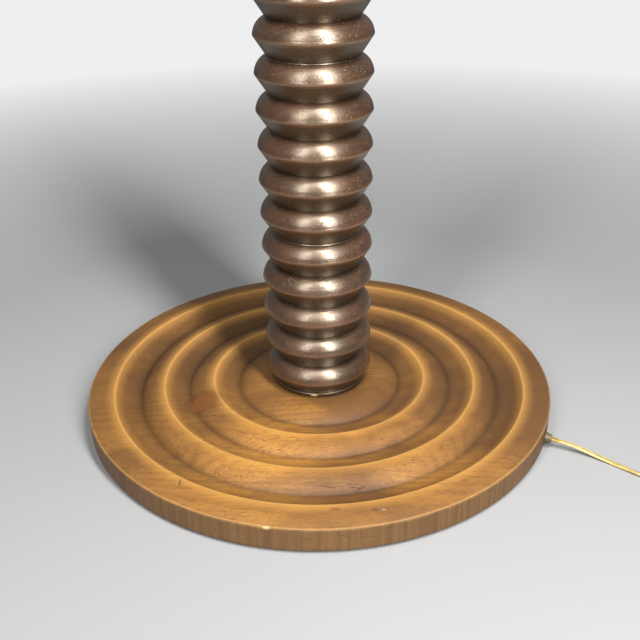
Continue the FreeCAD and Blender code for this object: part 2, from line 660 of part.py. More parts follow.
def coil_nodes():
    """Quarter-turn stations of the coil: points and headings on a spiral that winds in and out.

    The radius falls and rises by one spacing a turn. A layer is climbed in the half turn where the
    spiral reverses.
    """
    spacing, turns = size("coil_spacing"), int(size("coil_turns"))
    layers = int(size("coil_layers"))
    start_angle = math.radians(size("coil_heading") - 90)
    floor = number(FLEX_LEVEL)
    stations = []
    for quarter in range(4 * turns * layers + 1):
        travelled = quarter / 4
        layer = min(int(travelled // turns), layers - 1)
        within = travelled - layer * turns
        out_share = turns - within if layer % 2 == 0 else within
        radius = size("coil_inner") + spacing * out_share
        slope = -spacing if layer % 2 == 0 else spacing
        nearest = round(travelled / turns)
        away = travelled - nearest * turns
        height = floor + spacing * layer
        climb = 0
        if 0 < nearest < layers and abs(away) < 0.25:
            height = floor + spacing * (nearest - 0.5)
            slope = 0
            climb = 2 * spacing / (math.pi * radius)
        elif quarter in (0, 4 * turns * layers):
            slope = 0
        angle = start_angle + 2 * math.pi * travelled
        outward = Vector(math.cos(angle), math.sin(angle), 0)
        along = Vector(-math.sin(angle), math.cos(angle), 0)
        heading = along * radius + outward * (slope / (2 * math.pi)) + Vector(0, 0, climb * radius)
        centre = from_exit(size("coil_away"), size("coil_aside"), height)
        stations.append((centre + outward * radius, heading.normalize()))
    return stations


def biarc(start, heading, end, end_heading):
    """Two tangent arcs between two points with given headings."""
    chord = end - start
    both = heading + end_heading
    square = both.dot(both) - 4
    linear = -2 * chord.dot(both)
    leg = (-linear - math.sqrt(linear * linear - 4 * square * chord.dot(chord))) / (2 * square)
    first, second = start + heading * leg, end - end_heading * leg
    joint = (first + second) * 0.5
    arcs = []
    for low, bend, high in ((start, first, joint), (joint, second, end)):
        weight = (high - low).Length / 2 / leg
        middle = (low + bend * (2 * weight) + high) * (1 / (2 + 2 * weight))
        arcs.append(Part.Arc(low, middle, high))
    return arcs


def least_gap(wire, radius):
    """Least gap of a tube to itself, on points of its centre line."""
    step = 4.0
    near = 4 * radius
    points = wire.discretize(Distance=step)
    along = int(2 * near / step) + 4
    distances = [(point - other).Length for index, point in enumerate(points)
                 for other in points[index + along:]]
    return min(distance for distance in distances if distance < near) - 2 * radius


def coil_ends():
    stations = coil_nodes()
    straight = size("flex_diameter")
    first, first_heading = stations[0]
    last, last_heading = stations[-1]
    return first - first_heading * straight, last + last_heading * straight


def make_coil():
    stations = coil_nodes()
    start, end = coil_ends()
    edges = [Part.LineSegment(start, stations[0][0]).toShape()]
    for (point, heading), (following, next_heading) in zip(stations, stations[1:]):
        edges += [arc.toShape() for arc in biarc(point, heading, following, next_heading)]
    edges.append(Part.LineSegment(stations[-1][0], end).toShape())
    path = Part.Wire(edges)
    radius = size("flex_diameter") / 2
    print(f"coil length {path.Length:.0f} mm, least gap to itself {least_gap(path, radius):.2f} mm")
    node(feature("coil", swept(path, radius)), "flex_coil")


def plug_entry():
    """Middle of the plug's cord end and the plug's heading."""
    heading = radial(1, 0, size("coil_heading"))
    side = radial(1, 0, size("coil_heading") - 90)
    _, coil_end = coil_ends()
    entry = coil_end + heading * size("tail_reach") + side * size("tail_aside")
    return Vector(entry.x, entry.y, size("plug_thickness") / 2), heading


# The run from the bushing to the coil: (along, aside) past the exit, and the height above the floor
# line as a share of the drop.
RUN_WAY = ((17.25, 0.05, 0.92), (34.45, -0.71, 0.35), (52.9, -4.3, 0.0), (71.7, -10.76, 0.0),
           (92.3, -18.28, 0.0))
RUN_LAST = 20.0


def make_free_flex():
    """The loose ends of the lead: bushing to coil on the floor, and coil to plug."""
    coil_start, coil_end = coil_ends()
    floor = number(FLEX_LEVEL)
    drop = size("exit_height") - floor
    heading = radial(1, 0, size("coil_heading"))
    route = [exit_point()]
    route += [from_exit(along, aside, floor + drop * share) for along, aside, share in RUN_WAY]
    route += [coil_start - heading * RUN_LAST, coil_start]
    path, radii = rounded_path(route)
    print_radii("free flex", radii)
    print("free flex points", [tuple(round(value, 1) for value in point) for point in route])
    node(feature("run", swept(path, size("flex_diameter") / 2)), "flex_run")
    entry, heading = plug_entry()
    side = radial(1, 0, size("coil_heading") - 90)
    route = [coil_end, coil_end + heading * 17 + Vector(0, 0, -1.0),
             coil_end + heading * 35 + side * 1.5 + Vector(0, 0, -5.2),
             entry - heading * 18 - side * 0.8 + Vector(0, 0, 1.2), entry]
    path, radii = rounded_path(route)
    print_radii("tail", radii)
    print("tail points", [tuple(round(value, 1) for value in point) for point in route])
    node(feature("tail", swept(path, size("flex_diameter") / 2)), "flex_tail")


def make_plug():
    """A flat two-blade plug: its body narrows to the cord and swells at the grip."""
    entry, heading = plug_entry()
    length, width, thick = size("plug_length"), size("plug_width"), size("plug_thickness")
    waist = size("plug_waist")
    stations = [(0, waist, waist), (0.25, waist * 1.15, waist * 1.05), (0.6, width * 0.92, thick * 0.92),
                (0.8, width, thick), (1, width, thick * 0.96)]
    wires = []
    for share, across, high in stations:
        round_off = min(across, high) * 0.32
        wires.append(rounded_rectangle(across, high, round_off, share * length))
    shape = Part.makeLoft(wires, True, True)
    turn = Rotation(Vector(0, 0, 1), size("coil_heading")).multiply(Rotation(Vector(0, 1, 0), 90))
    turn = turn.multiply(Rotation(Vector(0, 0, 1), 90))
    body = feature("plug_shape", shape)
    body.Placement = Placement(entry, turn)
    node(body, "plug_body")
    side = radial(1, 0, size("coil_heading") + 90)
    blades = []
    for hand in (-1, 1):
        blade = box(f"blade_{hand + 1}", "blade_length", "blade_thickness", "blade_width",
                    Placement(entry + heading * (length + size("blade_length") / 2)
                              + side * (hand * size("blade_spacing") / 2)
                              - Vector(0, 0, size("blade_width") / 2),
                              Rotation(Vector(0, 0, 1), size("coil_heading"))))
        blades.append(blade)
    node(fuse("blade_group", *blades), "plug_blades")


def rounded_rectangle(across, high, corner, level):
    """A rectangle with round corners, in the plane Z = level."""
    edges = []
    half_x, half_y = across / 2, high / 2
    quarter = corner * (1 - math.sqrt(0.5))
    for sx, sy in ((1, -1), (1, 1), (-1, 1), (-1, -1)):
        level_point = [Vector(sx * half_x, sy * (half_y - corner), level),
                       Vector(sx * (half_x - quarter), sy * (half_y - quarter), level),
                       Vector(sx * (half_x - corner), sy * half_y, level)]
        if sx * sy < 0:
            level_point.reverse()
        edges.append(level_point)
    loop = []
    for index, (start, middle, end) in enumerate(edges):
        loop.append(Part.Arc(start, middle, end).toShape())
        loop.append(Part.LineSegment(end, edges[(index + 1) % 4][0]).toShape())
    return Part.Wire(loop)


# ---------------------------------------------------------------- assembly and export
make_base()
make_felt_pads()
for section, section_name in enumerate(("column_lower", "column_middle", "column_upper")):
    make_column_section(section, section_name)
make_collar()
make_hardware()
make_cord_way()
make_lampholder()
make_bulb()
make_harp()
make_shade()
make_finial()
make_inner_flex()
make_free_flex()
make_coil()
make_plug()
doc.recompute()

for item in doc.Objects:
    if {"Invalid", "Error"} & set(item.State):
        raise RuntimeError(f"{item.Name} failed: {item.State}")
os.makedirs("parts", exist_ok=True)
for item in NODES:
    if item.Shape.isNull() or not item.Shape.isValid() or item.Shape.Volume <= 0:
        raise RuntimeError(f"{item.Label} has no sound shape")
    item.Shape.exportStep(f"parts/{item.Label}.step")
    box_of = item.Shape.optimalBoundingBox(False)
    print(f"{item.Label:20s} solids {len(item.Shape.Solids)} volume {item.Shape.Volume:12.1f}"
          f" z {box_of.ZMin:8.1f} {box_of.ZMax:8.1f} x {box_of.XMin:7.1f} {box_of.XMax:7.1f}")
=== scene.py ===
# %% [markdown]
# The object is a candlestick floor lamp: a round wooden base turned into three scooped rings, a dark
# column of stacked beads, and a shaded lampholder above it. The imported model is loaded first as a
# fixed frame. Everything made here goes where that frame says, in metres, with +Z up.

# %% Load the frame
import math

import bmesh
import bpy
from mathutils import Matrix, Vector


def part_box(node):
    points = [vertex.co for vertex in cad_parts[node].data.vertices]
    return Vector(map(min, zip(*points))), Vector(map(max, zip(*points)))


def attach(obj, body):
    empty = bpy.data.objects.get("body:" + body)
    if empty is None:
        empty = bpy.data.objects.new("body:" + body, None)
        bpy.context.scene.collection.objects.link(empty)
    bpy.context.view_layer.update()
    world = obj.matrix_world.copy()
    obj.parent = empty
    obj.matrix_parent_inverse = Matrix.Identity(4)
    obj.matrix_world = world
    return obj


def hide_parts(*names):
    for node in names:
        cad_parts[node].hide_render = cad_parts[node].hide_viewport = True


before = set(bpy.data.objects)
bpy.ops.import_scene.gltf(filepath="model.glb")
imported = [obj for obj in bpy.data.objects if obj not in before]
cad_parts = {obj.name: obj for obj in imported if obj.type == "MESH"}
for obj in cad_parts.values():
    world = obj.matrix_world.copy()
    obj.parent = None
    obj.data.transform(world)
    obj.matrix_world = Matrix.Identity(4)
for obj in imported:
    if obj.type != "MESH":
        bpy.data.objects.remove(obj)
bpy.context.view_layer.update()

MM = 0.001
PHOTO_SIDE = 640

# %% [markdown]
# The camera is the one that took the photograph. Its place was solved from the rim, the rings and
# the beads: it stands 0.76 m in front of the lamp's axis and half a metre up, and looks 28.5 degrees
# down. Building the three axes by hand keeps the small roll that the photograph has.

# %% Camera
CAMERA_PLACE = Vector((0.0, -0.7624, 0.5036))
CAMERA_PITCH = math.radians(28.54)
CAMERA_YAW = math.radians(0.135)
CAMERA_ROLL = math.radians(-0.879)
CAMERA_FOCAL_PIXELS = 900
SENSOR_WIDTH = 36.0

look = Vector((math.sin(CAMERA_YAW) * math.cos(CAMERA_PITCH),
               math.cos(CAMERA_YAW) * math.cos(CAMERA_PITCH), -math.sin(CAMERA_PITCH)))
level_right = Vector((math.cos(CAMERA_YAW), -math.sin(CAMERA_YAW), 0))
level_up = level_right.cross(look)
camera_right = level_right * math.cos(CAMERA_ROLL) + level_up * math.sin(CAMERA_ROLL)
camera_up = level_up * math.cos(CAMERA_ROLL) - level_right * math.sin(CAMERA_ROLL)

camera_data = bpy.data.cameras.new("photo_camera")
camera_data.sensor_width = SENSOR_WIDTH
camera_data.sensor_fit = "HORIZONTAL"
camera_data.lens = SENSOR_WIDTH * CAMERA_FOCAL_PIXELS / PHOTO_SIDE
camera_data.clip_start = 0.01
camera = bpy.data.objects.new("photo_camera", camera_data)
bpy.context.scene.collection.objects.link(camera)
axes = Matrix((camera_right, camera_up, -look)).transposed()
camera.matrix_world = Matrix.Translation(CAMERA_PLACE) @ axes.to_4x4()
bpy.context.scene.camera = camera
bpy.context.scene.view_settings.view_transform = "Standard"


def from_photo(across, down, height):
    """The point at a height above the floor that a pixel of the photograph shows."""
    half = PHOTO_SIDE / 2
    ray = (look + camera_right * ((across - half) / CAMERA_FOCAL_PIXELS)
           - camera_up * ((down - half) / CAMERA_FOCAL_PIXELS))
    return CAMERA_PLACE + ray * ((height - CAMERA_PLACE.z) / ray.z)


print("photo centre on the floor", from_photo(320, 320, 0))

# %% [markdown]
# Meshes need a few helpers: one that makes an object from points and faces, and a lathe, which is how
# most of this lamp was really made. A lathe here turns a list of (radius, height) stations about the
# Z axis and can store a number for each station, which materials read later as an attribute.

# %% Mesh helpers


def into_scene(name, data):
    """A new object at the origin that holds some data."""
    item = bpy.data.objects.new(name, data)
    bpy.context.scene.collection.objects.link(item)
    return item


def evaluated_mesh(item):
    """The plain mesh that an item's modifiers or curve settings give."""
    bpy.context.view_layer.update()
    graph = bpy.context.evaluated_depsgraph_get()
    return bpy.data.meshes.new_from_object(item.evaluated_get(graph))


def new_object(name, points, faces, smooth=True):
    """An object at the origin from points and faces, with its faces turned outwards."""
    mesh = bpy.data.meshes.new(name)
    mesh.from_pydata([tuple(point) for point in points], [], faces)
    tool = bmesh.new()
    tool.from_mesh(mesh)
    bmesh.ops.recalc_face_normals(tool, faces=tool.faces)
    tool.to_mesh(mesh)
    tool.free()
    for polygon in mesh.polygons:
        polygon.use_smooth = smooth
    return into_scene(name, mesh)


def add_attribute(item, name, values):
    """Store one number at each point of a mesh."""
    layer = item.data.attributes.new(name, "FLOAT", "POINT")
    layer.data.foreach_set("value", values)


def lathe(name, stations, segments=192, closed=True, masks=None, move=None):
    """Turn (radius, height) stations about Z. masks gives {attribute: [number for each station]}."""
    points = []
    for radius, height in stations:
        for step in range(segments):
            angle = 2 * math.pi * step / segments
            point = Vector((radius * math.cos(angle), radius * math.sin(angle), height))
            points.append(move(point) if move else point)
    faces = []
    count = len(stations)
    for row in range(count if closed else count - 1):
        after = (row + 1) % count
        for step in range(segments):
            beside = (step + 1) % segments
            faces.append((row * segments + step, row * segments + beside,
                          after * segments + beside, after * segments + step))
    item = new_object(name, points, faces)
    for label, values in (masks or {}).items():
        add_attribute(item, label, [value for value in values for _ in range(segments)])
    return item


def arc_stations(start, end, radius, steps):
    """Points along an arc of a signed radius: positive bulges to the right of the way."""
    start, end = Vector((*start, 0)), Vector((*end, 0))
    chord = end - start
    side = Vector((chord.y, -chord.x, 0)).normalized()
    half = chord.length / 2
    depth = math.sqrt(max(radius * radius - half * half, 0))
    centre = (start + end) / 2 - side * math.copysign(depth, radius)
    first = start - centre
    turn = 2 * math.asin(min(half / abs(radius), 1)) * math.copysign(1, radius)
    for step in range(steps + 1):
        yield tuple((centre + Matrix.Rotation(turn * step / steps, 3, "Z") @ first)[:2])


# %% [markdown]
# The lead is the part that settles the picture's right edge, so it comes before the looks. It is a
# gold twin flex, 5 mm wide and half as thick. Its centre line is one NURBS curve: the listed
# points of the stretch on the floor, then the turns of the coil from a formula, then the short tail
# to the plug. The curve is sampled, and a section of two touching lobes follows the samples.

# %% The lead's route
FLEX_WIDTH = 5.0 * MM
RUN_POINTS = [
    (212.6, -90.3, 10.0), (228.5, -97.0, 8.6), (244.0, -104.4, 4.2), (259.6, -114.9, 1.6),
    (274.4, -128.2, 1.5), (290.4, -143.2, 1.7), (306.6, -157.9, 2.3),
]
TAIL_POINTS = [
    (343.6, -186.9, 18.1), (356.9, -199.1, 13.9), (369.6, -213.8, 8.7), (383.3, -225.5, 7.5),
]
COIL_CENTRE = Vector((350.0, -143.0, 0))
COIL_INNER, COIL_SPACING, COIL_TURNS, COIL_LAYERS = 22.0, 5.5, 3, 4
COIL_START = math.radians(-128.0)
COIL_FLOOR = 2.6
STEPS_A_TURN = 12
CLIMB_TURNS = 0.25  # how far either side of a layer's end the coil climbs to the next


def coil_points():
    """Control points of the coil: it spirals in, climbs a layer, spirals out and so on."""
    swell = 1 / math.cos(math.pi / STEPS_A_TURN)
    points = []
    for step in range(STEPS_A_TURN * COIL_TURNS * COIL_LAYERS + 1):
        travelled = step / STEPS_A_TURN
        layer = min(int(travelled // COIL_TURNS), COIL_LAYERS - 1)
        within = travelled - layer * COIL_TURNS
        share = COIL_TURNS - within if layer % 2 == 0 else within
        radius = (COIL_INNER + COIL_SPACING * share) * swell
        nearest = round(travelled / COIL_TURNS)
        away = travelled - nearest * COIL_TURNS
        height = COIL_FLOOR + COIL_SPACING * layer
        if 0 < nearest < COIL_LAYERS and abs(away) < CLIMB_TURNS:
            height = COIL_FLOOR + COIL_SPACING * (nearest - 0.5 + 2 * away)
        angle = COIL_START + 2 * math.pi * travelled
        points.append((COIL_CENTRE.x + radius * math.cos(angle),
                       COIL_CENTRE.y + radius * math.sin(angle), height))
    return points


def nurbs_line(name, points):
    """Sample one smooth NURBS spline through control points given in millimetres."""
    curve = bpy.data.curves.new(name, "CURVE")
    curve.dimensions = "3D"
    curve.resolution_u = 3
    spline = curve.splines.new("NURBS")
    spline.points.add(len(points) - 1)
    for knot, point in zip(spline.points, points):
        knot.co = (point[0] * MM, point[1] * MM, point[2] * MM, 1)
    spline.order_u = 3
    spline.use_endpoint_u = True
    item = into_scene(name, curve)
    mesh = evaluated_mesh(item)
    line = [vertex.co.copy() for vertex in mesh.vertices]
    bpy.data.objects.remove(item)
    bpy.data.meshes.remove(mesh)
    return line


lead_line = nurbs_line("lead_line", RUN_POINTS + coil_points() + TAIL_POINTS)
lead_length = sum((after - before).length for before, after in zip(lead_line, lead_line[1:]))
print(f"lead: {len(lead_line)} samples, {lead_length:.3f} m")

# %% [markdown]
# A flat flex lies on its broad side where it leaves the lamp, and stands on its narrow side in a
# coil, so the section turns a quarter on the way. The groove between the two lobes is real geometry.

# %% Sweep the lead
LOBE_RADIUS = 1.35 * MM
LOBE_OFFSET = FLEX_WIDTH / 2 - LOBE_RADIUS
LOBE_STEPS = 8
LOBE_SHARE = 0.94  # each lobe stops a little short of the other, which leaves the groove
FLOOR_CLEARANCE = 0.15 * MM
FLAT_SAMPLES = 8
TURNED_SAMPLES = 20


def twin_section():
    """Two touching lobes, side by side, as (across, up) pairs."""
    meeting = math.acos(-LOBE_OFFSET / LOBE_RADIUS) * LOBE_SHARE
    right = [(LOBE_OFFSET + LOBE_RADIUS * math.cos(angle), LOBE_RADIUS * math.sin(angle))
             for angle in (meeting * (2 * step / LOBE_STEPS - 1) for step in range(LOBE_STEPS + 1))]
    return right + [(-across, -up) for across, up in right]


def sweep(name, line, section, turn_at):
    """Carry a section along a line. turn_at gives its angle about the line at each sample."""
    points = []
    ring = len(section)
    for index, place in enumerate(line):
        before, after = line[max(index - 1, 0)], line[min(index + 1, len(line) - 1)]
        along = (after - before).normalized()
        across = along.cross(Vector((0, 0, 1))).normalized()
        up = across.cross(along)
        angle = turn_at(index)
        wide = across * math.cos(angle) + up * math.sin(angle)
        thin = up * math.cos(angle) - across * math.sin(angle)
        points += [place + wide * x + thin * y for x, y in section]
    faces = [tuple(reversed(range(ring))), tuple(range(len(points) - ring, len(points)))]
    for row in range(len(line) - 1):
        for step in range(ring):
            beside = (step + 1) % ring
            faces.append((row * ring + step, row * ring + beside,
                          (row + 1) * ring + beside, (row + 1) * ring + step))
    return new_object(name, points, faces)


def lead_turn(index):
    """The flex lies flat at the exit and stands on edge from the coil onwards."""
    share = (index - FLAT_SAMPLES) / (TURNED_SAMPLES - FLAT_SAMPLES)
    return math.pi / 2 * min(max(share, 0), 1)


for index, place in enumerate(lead_line):
    half_height = LOBE_OFFSET * math.sin(lead_turn(index)) + LOBE_RADIUS
    place.z = max(place.z, half_height + FLOOR_CLEARANCE)
lead = sweep("lead_flex", lead_line, twin_section(), lead_turn)
print(f"lead's lowest point {min(vertex.co.z for vertex in lead.data.vertices) / MM:.2f} mm")
groove = [1 - min(abs(x) / LOBE_OFFSET, 1) for x, _ in twin_section()] * len(lead_line)
add_attribute(lead, "groove", groove)
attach(lead, "root")
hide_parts("flex_run", "flex_coil", "flex_tail")

# %% [markdown]
# The base was turned from a 27 mm board. Each of its three rings is a cove that falls inwards and an
# ovolo that rises steeply to the next crest. The stations are close together at the crests, where the
# lacquer has worn to a pale line. Attributes remember how near a station is to a crest or to a
# valley, and what lies on the side or at the column's foot, so that the finish follows the turning:
# the painted highlight beside the crests, and the painted shade in the hollows and at the foot.

# %% Base profile
BASE_BOTTOM, BASE_TOP, BASE_EDGE = 2.0, 29.0, 25.6
BASE_RADIUS = 225.0
CRESTS = (199.5, 151.8, 103.4, 56.5)
VALLEYS = (175.5, 128.4, 79.4)
DEPTHS = (10.7, 8.8, 8.0)
BORE_RADIUS, RECESS_RADIUS, SEAT_HEIGHT = 5.5, 24.0, 20.0
RIM_ROUND, BOTTOM_ROUND = 1.0, 2.5
EDGE_STEP, EDGE_STEPS = 2.4, 7
COVE_STEPS, BAND_STEPS = 16, 14
CREST_REACH, CREST_HIGHLIGHT_REACH, VALLEY_REACH, HOLLOW_REACH, FOOT_REACH = 2.6, 11.0, 8.0, 24.0, 7.0
FOOT_RADIUS, FOOT_HEIGHT = 44.3, 4.2
BASE_SEGMENTS = 480


def level_radius(width, depth):
    """Radius of an arc of that width and depth which is level at one end."""
    return (width * width + depth * depth) / (2 * depth)


def base_stations():
    """The outline from the underside round the rim and in over the rings, in millimetres."""
    stations = [(radius, BASE_BOTTOM) for radius in (RECESS_RADIUS, RECESS_RADIUS + 1, 120, 216)]
    stations += list(arc_stations((BASE_RADIUS - BOTTOM_ROUND, BASE_BOTTOM),
                                  (BASE_RADIUS, BASE_BOTTOM + BOTTOM_ROUND), BOTTOM_ROUND, 5))
    stations += [(BASE_RADIUS, BASE_BOTTOM + BOTTOM_ROUND + step * EDGE_STEP)
                 for step in range(1, EDGE_STEPS + 1)]
    stations += list(arc_stations((BASE_RADIUS, BASE_EDGE - RIM_ROUND),
                                  (BASE_RADIUS - RIM_ROUND, BASE_EDGE), RIM_ROUND, 4))
    band = level_radius(BASE_RADIUS - CRESTS[0], BASE_TOP - BASE_EDGE)
    stations += list(arc_stations((BASE_RADIUS - RIM_ROUND, BASE_EDGE), (CRESTS[0], BASE_TOP),
                                  band, BAND_STEPS))[1:]
    for index, (valley, depth) in enumerate(zip(VALLEYS, DEPTHS)):
        crest, following = CRESTS[index], CRESTS[index + 1]
        low = (valley, BASE_TOP - depth)
        cove = level_radius(crest - valley, depth)
        ovolo = level_radius(valley - following, depth)
        stations += list(arc_stations((crest, BASE_TOP), low, -cove, COVE_STEPS))[1:]
        stations += list(arc_stations(low, (following, BASE_TOP), ovolo, COVE_STEPS))[1:]
    stations += [(radius, BASE_TOP) for radius in (50, 44, 20, BORE_RADIUS)]
    stations += [(BORE_RADIUS, SEAT_HEIGHT), (RECESS_RADIUS, SEAT_HEIGHT)]
    return stations


def nearness(radius, height, marks, reach):
    """1 at the nearest mark and 0 beyond the reach."""
    away = min(math.dist((radius, height), mark) for mark in marks)
    return max(0.0, 1 - away / reach)


base_outline = base_stations()
crest_marks = [(radius, BASE_TOP) for radius in CRESTS[:3]] + [(BASE_RADIUS, BASE_EDGE)]
valley_marks = [(radius, BASE_TOP - depth) for radius, depth in zip(VALLEYS, DEPTHS)]
base_masks = {
    "crest": [nearness(radius, height, crest_marks, CREST_REACH) for radius, height in base_outline],
    "crest_highlight": [nearness(radius, height, crest_marks[:3], CREST_HIGHLIGHT_REACH) for radius, height in base_outline],
    "valley": [nearness(radius, height, valley_marks, VALLEY_REACH) for radius, height in base_outline],
    # how near the hollows a station is, for painted shade
    "hollow_shade": [nearness(radius, height, valley_marks, HOLLOW_REACH) for radius, height in base_outline],
    "side": [1.0 if radius > BASE_RADIUS - 0.6 and height < BASE_EDGE - 0.4 else 0.0
             for radius, height in base_outline],
    # the ring round the column's foot, for painted shadow
    "foot": [max(0.0, 1 - max(0.0, radius - FOOT_RADIUS) / FOOT_REACH) if height > BASE_TOP - 1 else 0.0
             for radius, height in base_outline],
}
print(len(base_outline), "stations in the base's outline")

# %% [markdown]
# Age has left marks that are deeper than a finish: two chips out of the rim, two gouges on the outer
# band and a dip at the knot. Each is a place in the photograph and pushes the nearest points down by
# about a millimetre. A very slight waviness keeps the disc from looking machined.

# %% Base mesh
# (pixel across, pixel down, height of the surface, half length, half width, depth), in millimetres
MARKS = [
    (265, 528, 25.0, 5.0, 2.2, 1.1),
    (335, 510, 27.5, 4.2, 1.6, 0.7),
    (375, 510, 27.5, 3.6, 1.5, 0.7),
    (421, 531, 24.5, 3.4, 1.8, 0.8),
    (205, 398, 27.0, 4.0, 2.4, 0.4),
]
MARK_ZONE = 6.0  # marks reach this far below the rim's edge
WAVE_HEIGHT, WAVE_ACROSS, WAVE_ALONG, WAVE_START = 0.12, 0.031, 0.043, 1.3
wear_marks = []
for across, down, height, half_length, half_width, depth in MARKS:
    spot = from_photo(across, down, height * MM) / MM
    wear_marks.append((spot.x, spot.y, half_length, half_width, depth))
    print(f"mark at {math.hypot(spot.x, spot.y):.1f} mm from the axis")


def worn(point):
    """A base point in metres, moved by the gouges and the waviness."""
    x, y, z = point / MM
    if z > BASE_EDGE - MARK_ZONE:
        for centre_x, centre_y, half_length, half_width, depth in wear_marks:
            away = ((x - centre_x) / half_length) ** 2 + ((y - centre_y) / half_width) ** 2
            if away < 4:
                z -= depth * math.exp(-1.5 * away)
        if z < BASE_TOP - 0.3:
            z += WAVE_HEIGHT * math.sin(x * WAVE_ACROSS + WAVE_START) * math.cos(y * WAVE_ALONG)
    return Vector((x, y, z)) * MM


base = lathe("base_turned_disc", [(radius * MM, height * MM) for radius, height in base_outline],
             BASE_SEGMENTS, masks=base_masks, move=worn)
print("base faces", len(base.data.polygons))


def cut_with(item, cutters):
    """Subtract closed meshes from an item and keep the result as plain mesh."""
    for cutter in cutters:
        change = item.modifiers.new("cut", "BOOLEAN")
        change.object = cutter
        change.solver = "EXACT"
    mesh = evaluated_mesh(item)
    item.modifiers.clear()
    item.data = mesh
    for cutter in cutters:
        bpy.data.objects.remove(cutter)


# %% [markdown]
# Underneath, the flex runs in a routed channel and leaves through a hole in the edge. Both are cut
# with booleans, because a boolean leaves the sharp arris that a router leaves.

# %% Channel and edge hole
EXIT_ANGLE = math.radians(-23.0)
CHANNEL_END, CHANNEL_WIDTH, CHANNEL_TOP = 200.0, 8.0, 14.0
EXIT_HEIGHT, HOLE_RADIUS = 10.0, 4.9
CUT_OVERLAP, CUT_BEYOND = 4.0, 10.0


def box_mesh(name, low, high, angle):
    """A box between two corners, turned about Z."""
    turn = Matrix.Rotation(angle, 3, "Z")
    corners = [turn @ Vector((x, y, z)) * MM for x in (low[0], high[0]) for y in (low[1], high[1])
               for z in (low[2], high[2])]
    faces = [(0, 1, 3, 2), (4, 6, 7, 5), (0, 4, 5, 1), (2, 3, 7, 6), (0, 2, 6, 4), (1, 5, 7, 3)]
    return new_object(name, corners, faces, smooth=False)


def rod_mesh(name, start, end, radius, angle, sides=40):
    """A rod along a radius of the base, at the height of the exit."""
    turn = Matrix.Rotation(angle, 3, "Z")
    points = []
    for x in (start, end):
        for step in range(sides):
            around = 2 * math.pi * step / sides
            spot = Vector((x, radius * math.cos(around), EXIT_HEIGHT + radius * math.sin(around)))
            points.append(turn @ spot * MM)
    faces = [tuple(range(sides)), tuple(range(sides, 2 * sides))]
    faces += [(step, (step + 1) % sides, sides + (step + 1) % sides, sides + step)
              for step in range(sides)]
    return new_object(name, points, faces)


channel_cutter = box_mesh("channel_cutter", (0, -CHANNEL_WIDTH / 2, 0),
                          (CHANNEL_END, CHANNEL_WIDTH / 2, CHANNEL_TOP), EXIT_ANGLE)
hole_cutter = rod_mesh("hole_cutter", CHANNEL_END - CUT_OVERLAP, BASE_RADIUS + CUT_BEYOND,
                       HOLE_RADIUS, EXIT_ANGLE)
cut_with(base, [channel_cutter, hole_cutter])
print("base faces after the cuts", len(base.data.polygons))
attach(base, "root")
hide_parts("base_disc")

# %% [markdown]
# The column is the same bead over and over, so one bead is turned on the lathe and stacked later. It
# has a straight cone below, a narrow round arris and a quarter-round crown up to the next neck. Its
# attributes mark the worn arris, and the necks and the underside, where the finish paints shade.

# %% One bead
BEAD_PITCH = 31.2
SECTION_BEADS = 14
NECK_RADIUS, HIP_RADIUS, HIP_RISE = 39.8, 50.6, 0.8
SHOULDER_RADIUS, SHOULDER_RISE, ARRIS_RADIUS, CROWN_RADIUS = 50.45, 2.8, 3.0, 16.0
BEAD_SEGMENTS = 144
ARRIS_REACH, NECK_REACH = 2.4, 3.0


def bead_stations():
    """Outline of a bead from its lower neck to its upper neck, in millimetres from its middle."""
    half = BEAD_PITCH / 2
    hip, shoulder = (HIP_RADIUS, HIP_RISE), (SHOULDER_RADIUS, SHOULDER_RISE)
    cone = [(NECK_RADIUS + (HIP_RADIUS - NECK_RADIUS) * share, -half + (half + HIP_RISE) * share)
            for share in (0, 0.04, 0.35, 0.7, 0.97)]
    arris = list(arc_stations(hip, shoulder, ARRIS_RADIUS, 6))
    crown = list(arc_stations(shoulder, (NECK_RADIUS, half), CROWN_RADIUS, 12))[1:]
    return cone + arris + crown


bead_outline = bead_stations()
bead_masks = {
    "crest": [nearness(radius, height, [(HIP_RADIUS, HIP_RISE)], ARRIS_REACH)
              for radius, height in bead_outline],
    # the necks, where painted shade goes
    "valley": [max(0.0, 1 - abs(abs(height) - BEAD_PITCH / 2) / NECK_REACH)
               for _, height in bead_outline],
    # the underside of the bead, painted dark as shade
    "under": [1.0 if height < HIP_RISE - 0.1 else 0.0 for _, height in bead_outline],
}
bead = lathe("column_bead", [(radius * MM, height * MM) for radius, height in bead_outline],
             BEAD_SEGMENTS, closed=False, masks=bead_masks)
print("one bead", len(bead.data.polygons), "faces")

# %% [markdown]
# Every tree of nodes here, for shapes and for finishes, is written with one helper: it adds a node,
# sets it up, and takes a value or a link for each input.

# %% Node helper


def put(tree, kind, inputs=None, **settings):
    """Add a node. An input is a value, or a socket to link from."""
    node = tree.nodes.new(kind)
    for name, value in settings.items():
        setattr(node, name, value)
    for key, value in (inputs or {}).items():
        if isinstance(value, bpy.types.NodeSocket):
            tree.links.new(value, node.inputs[key])
        else:
            node.inputs[key].default_value = value
    return node


# %% [markdown]
# A Geometry Nodes tree stacks the beads, because the count and the pitch then stay plain numbers.
# Hand turning never gives two equal beads, so the tree makes each one slightly smaller by a share
# drawn from a fixed seed.

# %% Tree that stacks beads
STACK_INPUTS = {"Bead": "Object", "Count": "Int", "Pitch": "Float", "First": "Float",
                "Spread": "Float", "Seed": "Int", "Finish": "Material"}


